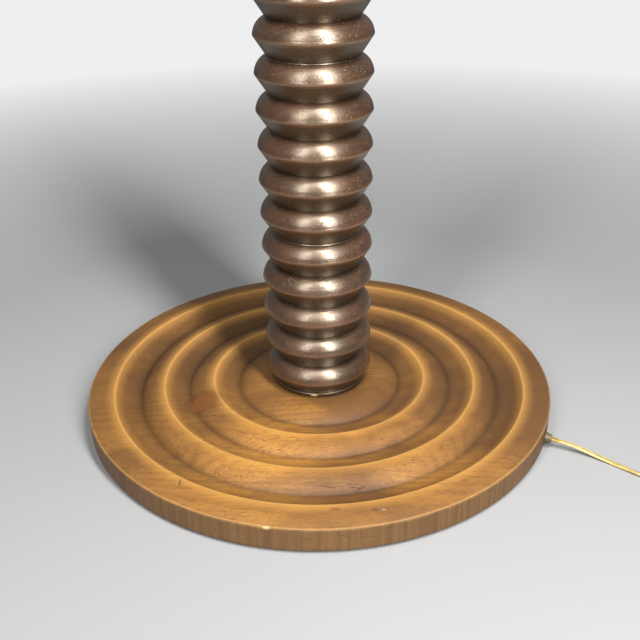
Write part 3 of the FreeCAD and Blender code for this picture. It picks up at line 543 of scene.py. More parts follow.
def stack_tree():
    """Geometry Nodes: copies of a bead up a line, each a little smaller than the first."""
    tree = bpy.data.node_groups.new("stacked_beads", "GeometryNodeTree")
    for label, kind in STACK_INPUTS.items():
        tree.interface.new_socket(label, in_out="INPUT", socket_type="NodeSocket" + kind)
    tree.interface.new_socket("Column", in_out="OUTPUT", socket_type="NodeSocketGeometry")
    entry = tree.nodes.new("NodeGroupInput").outputs
    leave = tree.nodes.new("NodeGroupOutput")
    start = put(tree, "ShaderNodeCombineXYZ", {"Z": entry["First"]})
    step = put(tree, "ShaderNodeCombineXYZ", {"Z": entry["Pitch"]})
    line = put(tree, "GeometryNodeMeshLine", {"Count": entry["Count"], "Start Location": start.outputs[0],
                                              "Offset": step.outputs[0]})
    source = put(tree, "GeometryNodeObjectInfo", {"Object": entry["Bead"]})
    least = put(tree, "ShaderNodeMath", {0: 1.0, 1: entry["Spread"]}, operation="SUBTRACT")
    size = put(tree, "FunctionNodeRandomValue", {2: least.outputs[0], 3: 1.0, "Seed": entry["Seed"]},
               data_type="FLOAT")
    scale = put(tree, "ShaderNodeCombineXYZ", {"X": size.outputs[1], "Y": size.outputs[1], "Z": 1.0})
    place = put(tree, "GeometryNodeInstanceOnPoints", {
        "Points": line.outputs[0], "Instance": source.outputs["Geometry"], "Scale": scale.outputs[0]})
    real = put(tree, "GeometryNodeRealizeInstances", {0: place.outputs[0]})
    finish = put(tree, "GeometryNodeSetMaterial", {"Geometry": real.outputs[0],
                                                   "Material": entry["Finish"]})
    tree.links.new(finish.outputs[0], leave.inputs[0])
    return tree


def set_input(modifier, label, value):
    """Set a tree's input by its socket's identifier."""
    for socket in modifier.node_group.interface.items_tree:
        if socket.name == label and socket.in_out == "INPUT":
            modifier[socket.identifier] = value


beads_tree = stack_tree()
print("the stacking tree has", len(beads_tree.nodes), "nodes")

# %% [markdown]
# These helpers name the few kinds of node that every finish here uses. Colours are written as the
# hex value that a plainly lit surface should show, and turned to linear light.

# %% Shader helpers


def colour(text):
    """A hex colour in linear light."""
    values = [int(text[index:index + 2], 16) / 255 for index in (1, 3, 5)]
    linear = [value / 12.92 if value <= 0.04045 else ((value + 0.055) / 1.055) ** 2.4
              for value in values]
    return (*linear, 1.0)


def calc(tree, operation, first, second=0.0, third=0.0):
    return put(tree, "ShaderNodeMath", {0: first, 1: second, 2: third}, operation=operation).outputs[0]


def times(tree, first, second):
    return calc(tree, "MULTIPLY", first, second)


def vector_calc(tree, operation, first, second, second_key=1):
    node = put(tree, "ShaderNodeVectorMath", {0: first, second_key: second}, operation=operation)
    return node.outputs[0]


def length(tree, vector):
    return put(tree, "ShaderNodeVectorMath", {0: vector}, operation="LENGTH").outputs["Value"]


def blend_colours(tree, share, first, second):
    return put(tree, "ShaderNodeMix", {0: share, 6: first, 7: second}, data_type="RGBA").outputs[2]


def tinted(tree, under, tint, mask, share=1.0):
    """Lay a hex colour over another colour where a mask is, up to a share."""
    amount = mask if share == 1.0 else times(tree, mask, share)
    return blend_colours(tree, amount, under, colour(tint))


def stretched(tree, vector, scale, shift=(0, 0, 0), turn=(0, 0, 0)):
    return put(tree, "ShaderNodeMapping", {"Vector": vector, "Location": shift, "Rotation": turn,
                                           "Scale": scale}).outputs[0]


def noise(tree, vector, scale, detail=3.0, roughness=0.55):
    return put(tree, "ShaderNodeTexNoise", {"Vector": vector, "Scale": scale, "Detail": detail,
                                            "Roughness": roughness}).outputs["Fac"]


def span(tree, value, low, high, to_low=0.0, to_high=1.0):
    return put(tree, "ShaderNodeMapRange", {"Value": value, "From Min": low, "From Max": high,
                                            "To Min": to_low, "To Max": to_high}).outputs[0]


def spot_mask(tree, place, centre, reach, soft=0.5):
    """1 inside an ellipsoid about a point in metres, and 0 outside. reach gives its half sizes."""
    scale = tuple(1 / half for half in reach)
    shift = tuple(-middle / half for middle, half in zip(centre, reach))
    within = stretched(tree, place, scale, shift)
    return span(tree, length(tree, within), 1.0, 1 - soft)


def attribute(tree, name):
    return put(tree, "ShaderNodeAttribute", attribute_name=name).outputs["Fac"]


def finish_on(tree, base_colour, roughness, height=None, bump=0.2, distance=0.0005, extra=None):
    """Principled shader with a bump. extra gives constants for its other sockets."""
    shader = put(tree, "ShaderNodeBsdfPrincipled", {"Base Color": base_colour, "Roughness": roughness})
    for name, value in (extra or {}).items():
        shader.inputs[name].default_value = value
    if height is not None:
        relief = put(tree, "ShaderNodeBump", {"Height": height, "Strength": bump, "Distance": distance})
        tree.links.new(relief.outputs[0], shader.inputs["Normal"])
    put(tree, "ShaderNodeOutputMaterial", {0: shader.outputs[0]})


def material(name):
    """A new empty material and its tree."""
    made = bpy.data.materials.new(name)
    made.use_nodes = True
    made.node_tree.nodes.clear()
    return made, made.node_tree


def object_place(tree):
    return put(tree, "ShaderNodeTexCoord").outputs["Object"]


# %% [markdown]
# Both woods share one figure: growth rings cut through by the turned surface, long pale and dark
# streaks, and short open pores. The group takes a place whose X runs along the grain, so the base can
# use it lying down and the column standing up. Because it is solid, the rings bend round every
# moulding as they do in real timber.

# %% Wood figure group


def new_group(name, inputs, outputs):
    """A shader group. inputs is {name: (kind, default)} and outputs the names of its numbers."""
    group = bpy.data.node_groups.new(name, "ShaderNodeTree")
    for label, (kind, default) in inputs.items():
        socket = group.interface.new_socket(label, in_out="INPUT", socket_type=kind)
        if default is not None:
            socket.default_value = default
    for label in outputs:
        group.interface.new_socket(label, in_out="OUTPUT", socket_type="NodeSocketFloat")
    return group, group.nodes.new("NodeGroupInput"), group.nodes.new("NodeGroupOutput")


def use_group(tree, group, inputs):
    return put(tree, "ShaderNodeGroup", inputs, node_tree=group)


def make_wood_figure():
    group, entry, leave = new_group("wood_figure", {
        "Place": ("NodeSocketVector", None), "Heart": ("NodeSocketVector", (0, 0, 0)),
        "Rings": ("NodeSocketFloat", 160.0), "Wander": ("NodeSocketFloat", 0.012),
        "Pores": ("NodeSocketFloat", 900.0)}, ("Ring", "Streak", "Pore"))
    centred = vector_calc(group, "SUBTRACT", entry.outputs["Place"], entry.outputs["Heart"])
    long_place = stretched(group, centred, (1.2, 9.0, 9.0))
    wander = put(group, "ShaderNodeTexNoise", {"Vector": long_place, "Scale": 1.0, "Detail": 2.0})
    moved = vector_calc(group, "SUBTRACT", wander.outputs["Color"], (0.5, 0.5, 0.5))
    scaled = vector_calc(group, "SCALE", moved, entry.outputs["Wander"], "Scale")
    bent = vector_calc(group, "ADD", centred, scaled)
    distance = length(group, vector_calc(group, "MULTIPLY", bent, (0.06, 1, 1)))
    wave = calc(group, "SINE", times(group, distance, entry.outputs["Rings"]))
    ring = calc(group, "POWER", span(group, wave, -1, 1), 2.0)
    fibres = noise(group, stretched(group, bent, (16, 620, 620)), 1.0, 4.0, 0.65)
    bands = noise(group, stretched(group, bent, (4, 85, 85)), 1.0, 3.0, 0.6)
    streak = calc(group, "MULTIPLY_ADD", bands, 0.5, times(group, fibres, 0.5))
    pore_place = stretched(group, bent, (0.07, 1, 1))
    cells = put(group, "ShaderNodeTexVoronoi", {"Vector": pore_place, "Scale": entry.outputs["Pores"]},
                feature="F1").outputs["Distance"]
    patch = noise(group, stretched(group, bent, (8, 60, 60)), 1.0, 2.0)
    pore = times(group, span(group, cells, 0.30, 0.10), span(group, patch, 0.42, 0.62))
    for label, socket in (("Ring", ring), ("Streak", streak), ("Pore", pore)):
        group.links.new(socket, leave.inputs[label])
    return group


wood_figure = make_wood_figure()
print("wood_figure has", len(wood_figure.nodes), "nodes")

# %% [markdown]
# Wear is the other shared effect. It takes a mask that is 1 on an arris, breaks it up with noise and
# puts out a softer mask, so no worn line is ever the same width all the way round.

# %% Edge wear group


def make_edge_wear():
    group, entry, leave = new_group("edge_wear", {
        "Place": ("NodeSocketVector", None), "Arris": ("NodeSocketFloat", 0.0),
        "Break Up": ("NodeSocketFloat", 60.0), "Amount": ("NodeSocketFloat", 1.0)}, ("Worn",))
    speck = noise(group, entry.outputs["Place"], entry.outputs["Break Up"], 4.0, 0.7)
    bare = calc(group, "ADD", times(group, entry.outputs["Arris"], 1.3),
                calc(group, "SUBTRACT", speck, 0.95))
    worn_mask = times(group, span(group, bare, 0.0, 0.35), entry.outputs["Amount"])
    group.links.new(worn_mask, leave.inputs["Worn"])
    return group


edge_wear = make_edge_wear()
print("edge_wear has", len(edge_wear.nodes), "nodes")

# %% [markdown]
# The base is a golden oak under an old clear lacquer. It is glued up from boards, so the heart of
# each board's rings jumps from one to the next. Painted shade darkens the hollows and the sides and
# back of the disc, and the valleys are darker along their line. A painted pool of light keeps the
# front of the disc pale, a painted highlight lies beside each crest and painted shadow round the
# column's foot, while the crests themselves are rubbed pale.

# %% Base wood
BOARD_WIDTH, BOARD_START = 0.112, 0.035
KNOT_SPOT = from_photo(203, 402, 25 * MM)
KNOT_BELOW = Vector((0.006, 0.006, 0.006))  # the knot's middle lies a little inside the wood
KNOT_RING, KNOT_HEART = (0.026, 0.024, 0.03), (0.0165, 0.0145, 0.03)
# The front of the disc is painted paler as a pool of light, and the rest darker as shade.
LIGHT_POOL_SPOT, LIGHT_POOL_REACH = (0.01, -0.12, 0.02), (0.22, 0.15, 0.2)
# (pixel across, pixel down, surface height in millimetres, half sizes in metres, colour)
SCARS = [
    (265, 528, 25.2, (0.0045, 0.0025, 0.003), "#c9ad84"),
    (335, 510, 27.4, (0.0055, 0.0022, 0.004), "#6e4322"),
    (375, 510, 27.4, (0.0040, 0.0022, 0.004), "#5d3a22"),
    (384, 510, 27.4, (0.0022, 0.0016, 0.004), "#7d7468"),
    (421, 531, 24.8, (0.0040, 0.0024, 0.004), "#4b3018"),
    (180, 484, 27.3, (0.0010, 0.0060, 0.004), "#3f2915"),
]


def add_knot(tree, place, under):
    """A reddish knot with a darker ring round it."""
    wavy = put(tree, "ShaderNodeTexNoise", {"Vector": place, "Scale": 70.0, "Detail": 3.0})
    push = vector_calc(tree, "SCALE", wavy.outputs["Color"], 0.012, "Scale")
    moved = vector_calc(tree, "ADD", place, push)
    halo = spot_mask(tree, moved, KNOT_SPOT + KNOT_BELOW, KNOT_RING, 0.8)
    heart = spot_mask(tree, moved, KNOT_SPOT + KNOT_BELOW, KNOT_HEART, 0.45)
    ringed = tinted(tree, under, "#3f2612", halo, 0.8)
    return tinted(tree, ringed, "#74451f", heart, 0.72)


def add_scars(tree, place, under):
    """The bare chip, the gouges, the dark tick and the bruise on the outer band."""
    for across, down, level, reach, tint in SCARS:
        mask = spot_mask(tree, place, from_photo(across, down, level * MM), reach, 0.55)
        under = tinted(tree, under, tint, mask, 0.85)
    return under


def board_heart(tree, place):
    """The middle of the growth rings of the board that a place is in, drawn anew for each board."""
    along = put(tree, "ShaderNodeSeparateXYZ", {0: place}).outputs["Y"]
    board = calc(tree, "FLOOR", calc(tree, "DIVIDE", calc(tree, "ADD", along, BOARD_START), BOARD_WIDTH))
    draw = put(tree, "ShaderNodeTexWhiteNoise", {"W": board}, noise_dimensions="1D")
    pick = put(tree, "ShaderNodeSeparateColor", {0: draw.outputs["Color"]})
    middle = times(tree, calc(tree, "ADD", board, pick.outputs[0]), BOARD_WIDTH)
    below = calc(tree, "MULTIPLY_ADD", pick.outputs[1], -0.06, -0.02)
    shift = calc(tree, "MULTIPLY_ADD", pick.outputs[2], 2.0, -1.0)
    return put(tree, "ShaderNodeCombineXYZ", {"X": shift, "Y": middle, "Z": below}).outputs[0]


def three_tones(tree, tone, light, middle, dark, low, high):
    """A ramp from a light to a dark colour between two tones, with a third one halfway."""
    ramp = put(tree, "ShaderNodeValToRGB", {0: tone})
    stops = ramp.color_ramp.elements
    stops[0].position, stops[0].color = low, colour(light)
    stops[1].position, stops[1].color = high, colour(dark)
    stops.new(0.5).color = colour(middle)
    return ramp.outputs[0]


def make_base_wood():
    made, tree = material("lacquered_oak")
    place = object_place(tree)
    figure = use_group(tree, wood_figure, {"Place": place, "Heart": board_heart(tree, place),
                                           "Rings": 1500.0, "Wander": 0.03, "Pores": 620.0})
    wear = use_group(tree, edge_wear, {"Place": place, "Arris": attribute(tree, "crest"),
                                       "Break Up": 90.0, "Amount": 0.45})
    tone = calc(tree, "ADD", times(tree, figure.outputs["Ring"], 0.12),
                times(tree, figure.outputs["Streak"], 0.85))
    oak = three_tones(tree, tone, "#c38c3f", "#a87433", "#6a421a", 0.22, 0.8)
    patches = noise(tree, stretched(tree, place, (7, 11, 9)), 1.0, 3.0, 0.6)
    warm = tinted(tree, oak, "#684420", span(tree, patches, 0.42, 0.62, 0, 0.9))
    short = noise(tree, stretched(tree, place, (190, 900, 900)), 1.0, 3.0, 0.7)
    flecked = tinted(tree, warm, "#573a1c", span(tree, short, 0.46, 0.7, 0, 0.6))
    side_streak = noise(tree, stretched(tree, place, (260, 260, 9)), 1.0, 3.0, 0.65)
    side_tone = tinted(tree, colour("#7d5e39"), "#4f381f", span(tree, side_streak, 0.36, 0.7))
    sided = blend_colours(tree, times(tree, attribute(tree, "side"), 0.85), flecked, side_tone)
    # Painted light and shade: a pool of light at the front of the disc, painted shade over its sides and
    # back.
    lit_front = spot_mask(tree, place, LIGHT_POOL_SPOT, LIGHT_POOL_REACH, 0.8)
    shaded_side = calc(tree, "SUBTRACT", 1.0, times(tree, lit_front, 0.85))
    painted_side_shade = tinted(tree, sided, "#543920", shaded_side, 0.7)
    # Painted shade in the hollows, weaker inside the painted pool of light at the front.
    hollow_shade = times(tree, attribute(tree, "hollow_shade"), shaded_side)
    hollows_shaded = tinted(tree, painted_side_shade, "#3f2813", hollow_shade, 0.6)
    # Darker along the valley lines, broken up by the patches.
    valley_darkening = calc(tree, "POWER", attribute(tree, "valley"), 2.4)
    valley_break = span(tree, patches, 0.3, 0.6, 0.35, 0.85)
    valleys_darkened = tinted(tree, hollows_shaded, "#3d2814", times(tree, valley_darkening, valley_break))
    # Painted shadow round the column's foot.
    foot_shadowed = tinted(tree, valleys_darkened, "#33200f", attribute(tree, "foot"), 0.55)
    pored = tinted(tree, foot_shadowed, "#2f1d0d", figure.outputs["Pore"], 0.7)
    # Painted highlight: a soft golden band beside each crest.
    crest_highlight = tinted(tree, pored, "#c48f45", calc(tree, "POWER", attribute(tree, "crest_highlight"), 1.4), 0.5)
    lifted = tinted(tree, add_knot(tree, place, crest_highlight), "#dcb06c", wear.outputs["Worn"], 0.34)
    height = calc(tree, "SUBTRACT", times(tree, short, 0.5), figure.outputs["Pore"])
    finish_on(tree, add_scars(tree, place, lifted), span(tree, patches, 0.35, 0.65, 0.5, 0.62),
              height, 0.6, 0.0006, {"Specular IOR Level": 0.35})
    return made


base_wood = make_base_wood()
base.data.materials.clear()
base.data.materials.append(base_wood)
print("base wood has", len(base_wood.node_tree.nodes), "nodes")

# %% [markdown]
# The column is stained dark and waxed. Its grain stands upright, so the place is turned a quarter
# before it reaches the figure. The stain is patchy, reddish where the turning is thin. Painted shade
# makes the undersides of the beads and the necks between them nearly black.

# %% Column wood
CHIP_SPOT, CHIP_REACH = (-0.005, -0.0443, 0.0315), (0.0042, 0.004, 0.0016)
CHECK_SPOT, CHECK_REACH = (-0.0135, -0.0485, 0.168), (0.0007, 0.006, 0.010)


def make_column_wood():
    made, tree = material("waxed_walnut")
    place = object_place(tree)
    upright = stretched(tree, place, (1, 1, 1), turn=(0, math.pi / 2, 0))
    figure = use_group(tree, wood_figure, {"Place": upright, "Heart": (0.0, 0.018, 0.012),
                                           "Rings": 1800.0, "Wander": 0.02, "Pores": 800.0})
    wear = use_group(tree, edge_wear, {"Place": place, "Arris": attribute(tree, "crest"),
                                       "Break Up": 38.0, "Amount": 0.45})
    tone = calc(tree, "ADD", times(tree, figure.outputs["Streak"], 0.8),
                times(tree, figure.outputs["Ring"], 0.08))
    walnut = three_tones(tree, tone, "#4c3020", "#2f1f14", "#180f09", 0.25, 0.8)
    patches = noise(tree, stretched(tree, place, (26, 26, 30)), 1.0, 3.0, 0.6)
    red = tinted(tree, walnut, "#4d2a18", span(tree, patches, 0.5, 0.68, 0, 0.6))
    # Painted shade: the undersides of the beads nearly black.
    underside_shaded = tinted(tree, red, "#170e08", attribute(tree, "under"), 0.85)
    # Painted shade in the necks between the beads.
    neck_shaded = tinted(tree, underside_shaded, "#0e0805", calc(tree, "POWER", attribute(tree, "valley"), 1.4), 0.8)
    pored = tinted(tree, neck_shaded, "#150d08", figure.outputs["Pore"], 0.7)
    rubbed = tinted(tree, pored, "#94735a", wear.outputs["Worn"], 0.5)
    check = spot_mask(tree, place, CHECK_SPOT, CHECK_REACH, 0.6)
    checked = tinted(tree, rubbed, "#150d08", check, 0.8)
    chip = spot_mask(tree, place, CHIP_SPOT, CHIP_REACH, 0.5)
    turning = noise(tree, stretched(tree, place, (6, 6, 1400)), 1.0, 2.0)
    ridges = times(tree, calc(tree, "ADD", figure.outputs["Streak"], turning), 0.35)
    height = calc(tree, "SUBTRACT", ridges, figure.outputs["Pore"])
    finish_on(tree, tinted(tree, checked, "#b59a75", chip), span(tree, patches, 0.3, 0.7, 0.26, 0.4),
              height, 0.7, 0.0006,
              {"IOR": 1.62, "Specular IOR Level": 1.0, "Specular Tint": (1.0, 0.86, 0.66, 1),
               "Coat Weight": 0.5, "Coat Roughness": 0.3, "Coat Tint": (1.0, 0.9, 0.76, 1)})
    return made


column_wood = make_column_wood()
print("column wood has", len(column_wood.node_tree.nodes), "nodes")

# %% [markdown]
# Each section of the column is fourteen stacked beads with a flat face at both ends, and the lowest
# one has the foot ring that stands on the base. The tree's result is turned into a plain mesh and
# welded to its faces, so that each section is one piece, as it was on the lathe.

# %% Stack the three column sections
SIZE_SPREAD, FIRST_SEED = 0.008, 11
FACE_SHARE = 0.992  # a face reaches the smallest neck that the spread allows
WELD_DISTANCE = 0.02 * MM


def plain_copy(item, name):
    """The result of an item's modifiers as a new plain object. The item itself goes."""
    made = into_scene(name, evaluated_mesh(item))
    bpy.data.objects.remove(item)
    return made


def join_into(name, items):
    """Merge the meshes of several items into one new object."""
    tool = bmesh.new()
    finishes = [finish for finish in items[0].data.materials if finish]
    for item in items:
        tool.from_mesh(item.data)
    bmesh.ops.remove_doubles(tool, verts=tool.verts, dist=WELD_DISTANCE)
    mesh = bpy.data.meshes.new(name)
    tool.to_mesh(mesh)
    tool.free()
    for finish in finishes:
        mesh.materials.append(finish)
    for polygon in mesh.polygons:
        polygon.use_smooth = True
        polygon.material_index = 0
    for item in items:
        bpy.data.objects.remove(item)
    return into_scene(name, mesh)


def column_section(index, node):
    """One turned section of the column, with its end faces and, for the lowest, its foot ring."""
    low = BASE_TOP + index * BEAD_PITCH * SECTION_BEADS
    top = low + BEAD_PITCH * SECTION_BEADS
    holder = new_object(node + "_stack", [(0, 0, 0)], [])
    stack = holder.modifiers.new("beads", "NODES")
    stack.node_group = beads_tree
    for label, value in (("Bead", bead), ("Count", SECTION_BEADS), ("Pitch", BEAD_PITCH * MM),
                         ("First", (low + BEAD_PITCH / 2) * MM), ("Spread", SIZE_SPREAD),
                         ("Seed", FIRST_SEED + index), ("Finish", column_wood)):
        set_input(stack, label, value)
    pieces = [plain_copy(holder, node + "_beads")]
    for height in (low, top):
        # The end faces darken towards their rim with the necks' painted shade.
        face = [(BORE_RADIUS * MM, height * MM), (NECK_RADIUS * FACE_SHARE * MM, height * MM)]
        pieces.append(lathe("neck_face", face, BEAD_SEGMENTS, closed=False,
                            masks={"crest": [0, 0], "valley": [0, 1], "under": [0, 0]}))
    if index == 0:
        outline = [(30, low), (FOOT_RADIUS - 0.6, low), (FOOT_RADIUS, low + 0.5),
                   (FOOT_RADIUS, low + FOOT_HEIGHT - 0.4), (FOOT_RADIUS - 0.4, low + FOOT_HEIGHT),
                   (38, low + FOOT_HEIGHT)]
        # The foot ring is painted dark as shade where it stands on the base.
        foot_masks = {"crest": [0] * 6, "valley": [1, 1, 0.6, 0, 0, 0], "under": [1, 1, 1, 1, 0.4, 0]}
        pieces.append(lathe("foot_ring", [(radius * MM, height * MM) for radius, height in outline],
                            BEAD_SEGMENTS, masks=foot_masks))
    made = join_into(node + "_turned", pieces)
    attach(made, "root")
    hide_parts(node)
    print(node, len(made.data.polygons), "faces")


for section, node_name in enumerate(("column_lower", "column_middle", "column_upper")):
    column_section(section, node_name)
bpy.data.objects.remove(bead)

# %% [markdown]
# Metal, plastic and felt are simpler: a base colour with a slow variation, a roughness that carries
# the handling marks, and a fine bump at the scale of the real surface.

# %% Metals, plastics and felt


def make_metal(name, light, dark, rough, scale):
    made, tree = material(name)
    place = object_place(tree)
    tarnish = noise(tree, place, scale, 4.0, 0.6)
    brush = noise(tree, stretched(tree, place, (60, 60, 900)), 1.0, 2.0)
    tint = tinted(tree, colour(light), dark, span(tree, tarnish, 0.42, 0.68))
    roughness = calc(tree, "ADD", times(tree, tarnish, 0.2),
                     calc(tree, "MULTIPLY_ADD", brush, 0.1, rough))
    finish_on(tree, tint, roughness, brush, 0.08, 0.0002, {"Metallic": 1.0})
    return made


def make_moulded(name, light, dark, rough, grain_scale=1500.0):
    made, tree = material(name)
    place = object_place(tree)
    cloud = noise(tree, place, 40.0, 3.0)
    grain = noise(tree, place, grain_scale, 2.0)
    tint = tinted(tree, colour(light), dark, span(tree, cloud, 0.35, 0.65))
    finish_on(tree, tint, span(tree, cloud, 0.3, 0.7, rough, rough + 0.12), grain, 0.12, 0.0002)
    return made


def make_flex():
    """Glossy gold insulation with a dark line of painted shade in the groove."""
    made, tree = material("gold_flex")
    place = object_place(tree)
    cloud = noise(tree, place, 130.0, 3.0)
    tint = tinted(tree, colour("#cfbb78"), "#ab9450", span(tree, cloud, 0.35, 0.65))
    # Painted shade along the groove between the lobes.
    groove_shade = span(tree, attribute(tree, "groove"), 0.2, 0.8, 0, 0.85)
    roughness = span(tree, cloud, 0.3, 0.7, 0.22, 0.34)
    finish_on(tree, tinted(tree, tint, "#54431a", groove_shade), roughness, cloud, 0.1, 0.0002,
              {"Coat Weight": 0.5, "Coat Roughness": 0.12})
    return made


brass = make_metal("lacquered_brass", "#d8b368", "#a97f3c", 0.2, 70.0)
steel = make_metal("zinc_steel", "#b9bcbf", "#8d8f92", 0.3, 90.0)
aluminium = make_metal("rolled_aluminium", "#d5d6d8", "#b1b2b4", 0.25, 60.0)
bushing_plastic = make_moulded("olive_bushing", "#6b5a30", "#4c3f20", 0.4)
plug_plastic = make_moulded("gold_brown_plug", "#a07a34", "#7d5d26", 0.35)
phenolic = make_moulded("black_phenolic", "#2a2522", "#191614", 0.3)
fibre = make_moulded("insulating_fibre", "#6a5a46", "#54463a", 0.75)
felt = make_moulded("pressed_felt", "#3b4a35", "#2b3727", 0.95, 4000.0)
enamel = make_moulded("enamelled_wire", "#e6e2d8", "#d2ccbf", 0.35)
flex_gold = make_flex()
lead.data.materials.append(flex_gold)
print("the lead wears", flex_gold.name)

# %% [markdown]
# The bulb is pearl glass: it lets light through but hides its filament. The shade is linen on a stiff
# liner. Its weave is two crossed waves that run round and along the cone, so it reads a UV map
# instead of the object's place.

# %% Glass and linen
THREADS_ROUND, THREADS_UP = 1300, 300


def make_pearl_glass():
    made, tree = material("pearl_glass")
    grain = noise(tree, object_place(tree), 900.0, 2.0)
    tint = tinted(tree, colour("#fbfaf6"), "#efeee8", grain)
    finish_on(tree, tint, span(tree, grain, 0.3, 0.7, 0.32, 0.4), grain, 0.05, 0.0001,
              {"Transmission Weight": 0.35, "IOR": 1.45})
    return made


def make_linen():
    """Plain weave with thick and thin threads both ways."""
    made, tree = material("shade_linen")
    across = put(tree, "ShaderNodeUVMap", uv_map="cloth").outputs[0]
    parts = put(tree, "ShaderNodeSeparateXYZ", {0: across})
    warp = calc(tree, "SINE", times(tree, parts.outputs["X"], 2 * math.pi * THREADS_ROUND))
    weft = calc(tree, "SINE", times(tree, parts.outputs["Y"], 2 * math.pi * THREADS_UP))
    weave = times(tree, warp, weft)
    slub_round = noise(tree, stretched(tree, across, (14, 420, 1)), 1.0, 3.0)
    slub_up = noise(tree, stretched(tree, across, (1400, 4, 1)), 1.0, 3.0)
    slub = times(tree, calc(tree, "ADD", slub_round, slub_up), 0.5)
    light = tinted(tree, colour("#b9ab90"), "#cbbfa6", span(tree, slub, 0.38, 0.62))
    final = tinted(tree, light, "#b7a888", span(tree, weave, -1, 1, 0.16, 0.0))
    height = calc(tree, "ADD", times(tree, weave, 0.4), slub)
    finish_on(tree, final, 0.88, height, 0.35, 0.0003, {"Sheen Weight": 0.25, "Sheen Roughness": 0.5})
    return made


pearl_glass = make_pearl_glass()
linen = make_linen()
print("made", pearl_glass.name, "and", linen.name)

# %% [markdown]
# Small fittings such as the lampholder, the harp and the plug are right as the frame gives them. They
# keep their solids and take a finish in place of the plain one.

# %% Dress the frame's own nodes
FINISHES = {
    "column_collar": column_wood, "threaded_pipe": steel, "base_washer": steel, "base_nut": steel,
    "cord_straps": steel, "check_ring": brass, "cord_bushing": bushing_plastic, "socket_cap": brass,
    "socket_shell": brass, "socket_liner": fibre, "socket_block": phenolic, "terminal_screws": brass,
    "screw_shell": aluminium, "centre_contact": brass, "switch_key": brass, "bulb_tip": brass,
    "bulb_cup": aluminium, "bulb_glass": pearl_glass, "harp_saddle": brass, "harp_wire": brass,
    "harp_sleeve_left": brass, "harp_sleeve_right": brass, "shade_top_ring": enamel,
    "shade_hub": brass, "shade_spokes": enamel, "shade_bottom_ring": enamel, "finial": brass,
    "inner_flex": flex_gold, "plug_body": plug_plastic, "plug_blades": brass, "felt_pads": felt,
}
for node_name, finish in FINISHES.items():
    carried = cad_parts[node_name]
    carried.data.materials.clear()
    carried.data.materials.append(finish)
    for polygon in carried.data.polygons:
        polygon.material_index = 0
print(len(FINISHES), "frame nodes dressed")

# %% [markdown]
# The shade is a cone of laminated linen with a rolled hem at both edges. The lathe gives the cone,
# and a UV map is laid round and along it for the weave.

# %% Shade
SHADE_LOW, SHADE_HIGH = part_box("shade")
SHADE_TOP_RADIUS, SHADE_BOTTOM_RADIUS, SHADE_WALL = 150.0 * MM, 230.0 * MM, 1.6 * MM
HEM_DEPTH, HEM_PROUD = 9.0 * MM, 0.5 * MM
HEM_STEP, EDGE_STEP_UP, INNER_FACE = 0.4 * MM, 0.3 * MM, 0.2 * MM
SHADE_SEGMENTS, SHADE_ROWS = 256, 12


def shade_stations():
    """Outer face from the bottom up with its hems, then the inner face back down."""
    height = SHADE_HIGH.z - SHADE_LOW.z
    slope = (SHADE_TOP_RADIUS - SHADE_BOTTOM_RADIUS) / height

    def cone(level, proud):
        return (SHADE_BOTTOM_RADIUS + slope * level + proud, SHADE_LOW.z + level)

    outer = SHADE_WALL - HEM_PROUD
    levels = [(0.0, SHADE_WALL * 0.5), (EDGE_STEP_UP, SHADE_WALL),
              (HEM_DEPTH - HEM_STEP, SHADE_WALL), (HEM_DEPTH, outer)]
    levels += [(height * row / SHADE_ROWS, outer) for row in range(1, SHADE_ROWS)]
    levels += [(height - HEM_DEPTH, outer), (height - HEM_DEPTH + HEM_STEP, SHADE_WALL),
               (height - EDGE_STEP_UP, SHADE_WALL), (height, SHADE_WALL * 0.5),
               (height - EDGE_STEP_UP, INNER_FACE)]
    levels += [(height * row / SHADE_ROWS, INNER_FACE) for row in range(SHADE_ROWS - 1, 0, -1)]
    levels += [(EDGE_STEP_UP, INNER_FACE)]
    return [cone(level, proud) for level, proud in levels]


shade = lathe("shade_linen_cone", shade_stations(), SHADE_SEGMENTS)
cloth_map = shade.data.uv_layers.new(name="cloth")
for polygon in shade.data.polygons:
    angles = []
    for corner in polygon.loop_indices:
        spot = shade.data.vertices[shade.data.loops[corner].vertex_index].co
        angles.append(math.atan2(spot.y, spot.x) / (2 * math.pi) + 0.5)
    wraps = max(angles) - min(angles) > 0.5
    for corner, angle in zip(polygon.loop_indices, angles):
        spot = shade.data.vertices[shade.data.loops[corner].vertex_index].co
        turned = angle + 1 if wraps and angle < 0.5 else angle
        cloth_map.data[corner].uv = (turned, (spot.z - SHADE_LOW.z) / (SHADE_HIGH.z - SHADE_LOW.z))
shade.data.materials.append(linen)
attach(shade, "shade")
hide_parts("shade")
print("shade", len(shade.data.polygons), "faces")

# %% [markdown]
# The lamp stands on a plain pale floor in soft studio light. The column's two upright highlights say
# where the lamps were: a brighter one high on the right and a broad one high on the left. The
# backdrop is white to the camera, and a plain grey to everything else.

# %% Floor, backdrop and lamps
FLOOR_HALF = 9.0
NEAR_FADE, FAR_FADE = 0.45, 1.5
BACKDROP = (0.86, 0.86, 0.86, 1)
AIR = (0.21, 0.215, 0.22, 1)


def seen_directly(tree):
    """1 for rays that reach the camera as they are or through glass."""
    path = put(tree, "ShaderNodeLightPath")
    return calc(tree, "MAXIMUM", path.outputs["Is Camera Ray"], path.outputs["Is Transmission Ray"])


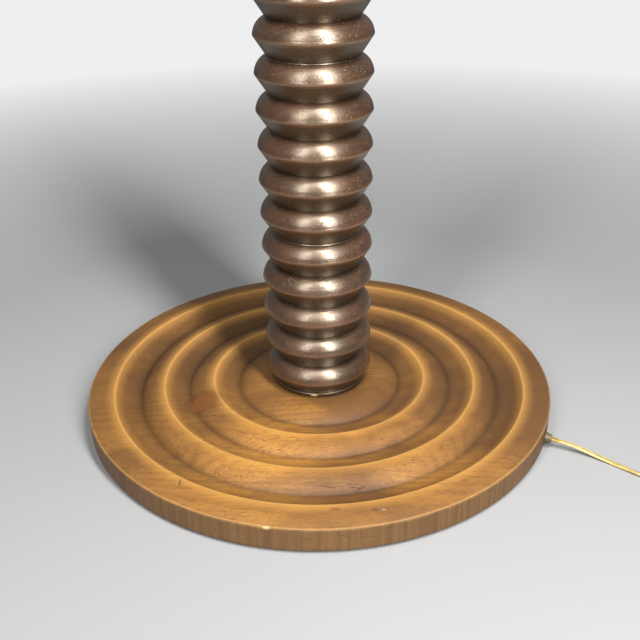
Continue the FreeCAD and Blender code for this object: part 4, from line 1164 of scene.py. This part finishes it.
def make_floor():
    """Matt pale floor that fades to the backdrop's plain tone away from the lamp."""
    made, tree = material("studio_floor")
    place = object_place(tree)
    tint = tinted(tree, colour("#929292"), "#969696", noise(tree, place, 3.0, 2.0))
    matt = put(tree, "ShaderNodeBsdfPrincipled", {"Base Color": tint, "Roughness": 0.8})
    plain = put(tree, "ShaderNodeEmission", {"Color": BACKDROP, "Strength": 1.0})
    away = length(tree, vector_calc(tree, "MULTIPLY", place, (1, 1, 0)))
    fade = times(tree, span(tree, away, NEAR_FADE, FAR_FADE), seen_directly(tree))
    mixed = put(tree, "ShaderNodeMixShader", {0: fade, 1: matt.outputs[0], 2: plain.outputs[0]})
    put(tree, "ShaderNodeOutputMaterial", {0: mixed.outputs[0]})
    return made


corners = [(across * FLOOR_HALF, along * FLOOR_HALF, 0)
           for across, along in ((-1, -1), (1, -1), (1, 1), (-1, 1))]
floor = new_object("studio_ground", corners, [(0, 1, 2, 3)])
floor.data.materials.append(make_floor())


LAMP_AIM = Vector((0, 0, 0.12))


def add_lamp(name, azimuth, elevation, distance, width, height, power):
    """An upright soft box at an azimuth and elevation in degrees, aimed at the foot of the column."""
    data = bpy.data.lights.new(name, "AREA")
    data.shape = "RECTANGLE"
    data.size = width
    data.size_y = height
    data.energy = power
    lamp = into_scene(name, data)
    turn, lift = math.radians(azimuth), math.radians(elevation)
    away = Vector((math.cos(lift) * math.cos(turn), math.cos(lift) * math.sin(turn), math.sin(lift)))
    lamp.location = LAMP_AIM + away * distance
    lamp.rotation_euler = away.to_track_quat("Z", "Y").to_euler()
    print(name, "at", tuple(round(value, 2) for value in lamp.location))


add_lamp("key_softbox", azimuth=-62, elevation=46, distance=1.25, width=0.16, height=1.35, power=36)
add_lamp("fill_softbox", azimuth=-118, elevation=42, distance=1.7, width=0.26, height=1.5, power=22)

world = bpy.data.worlds.new("studio_air")
bpy.context.scene.world = world
world.use_nodes = True
world.node_tree.nodes.clear()
air_tree = world.node_tree
air_tint = blend_colours(air_tree, seen_directly(air_tree), AIR, BACKDROP)
air = put(air_tree, "ShaderNodeBackground", {"Color": air_tint, "Strength": 1.0})
put(air_tree, "ShaderNodeOutputWorld", {0: air.outputs[0]})
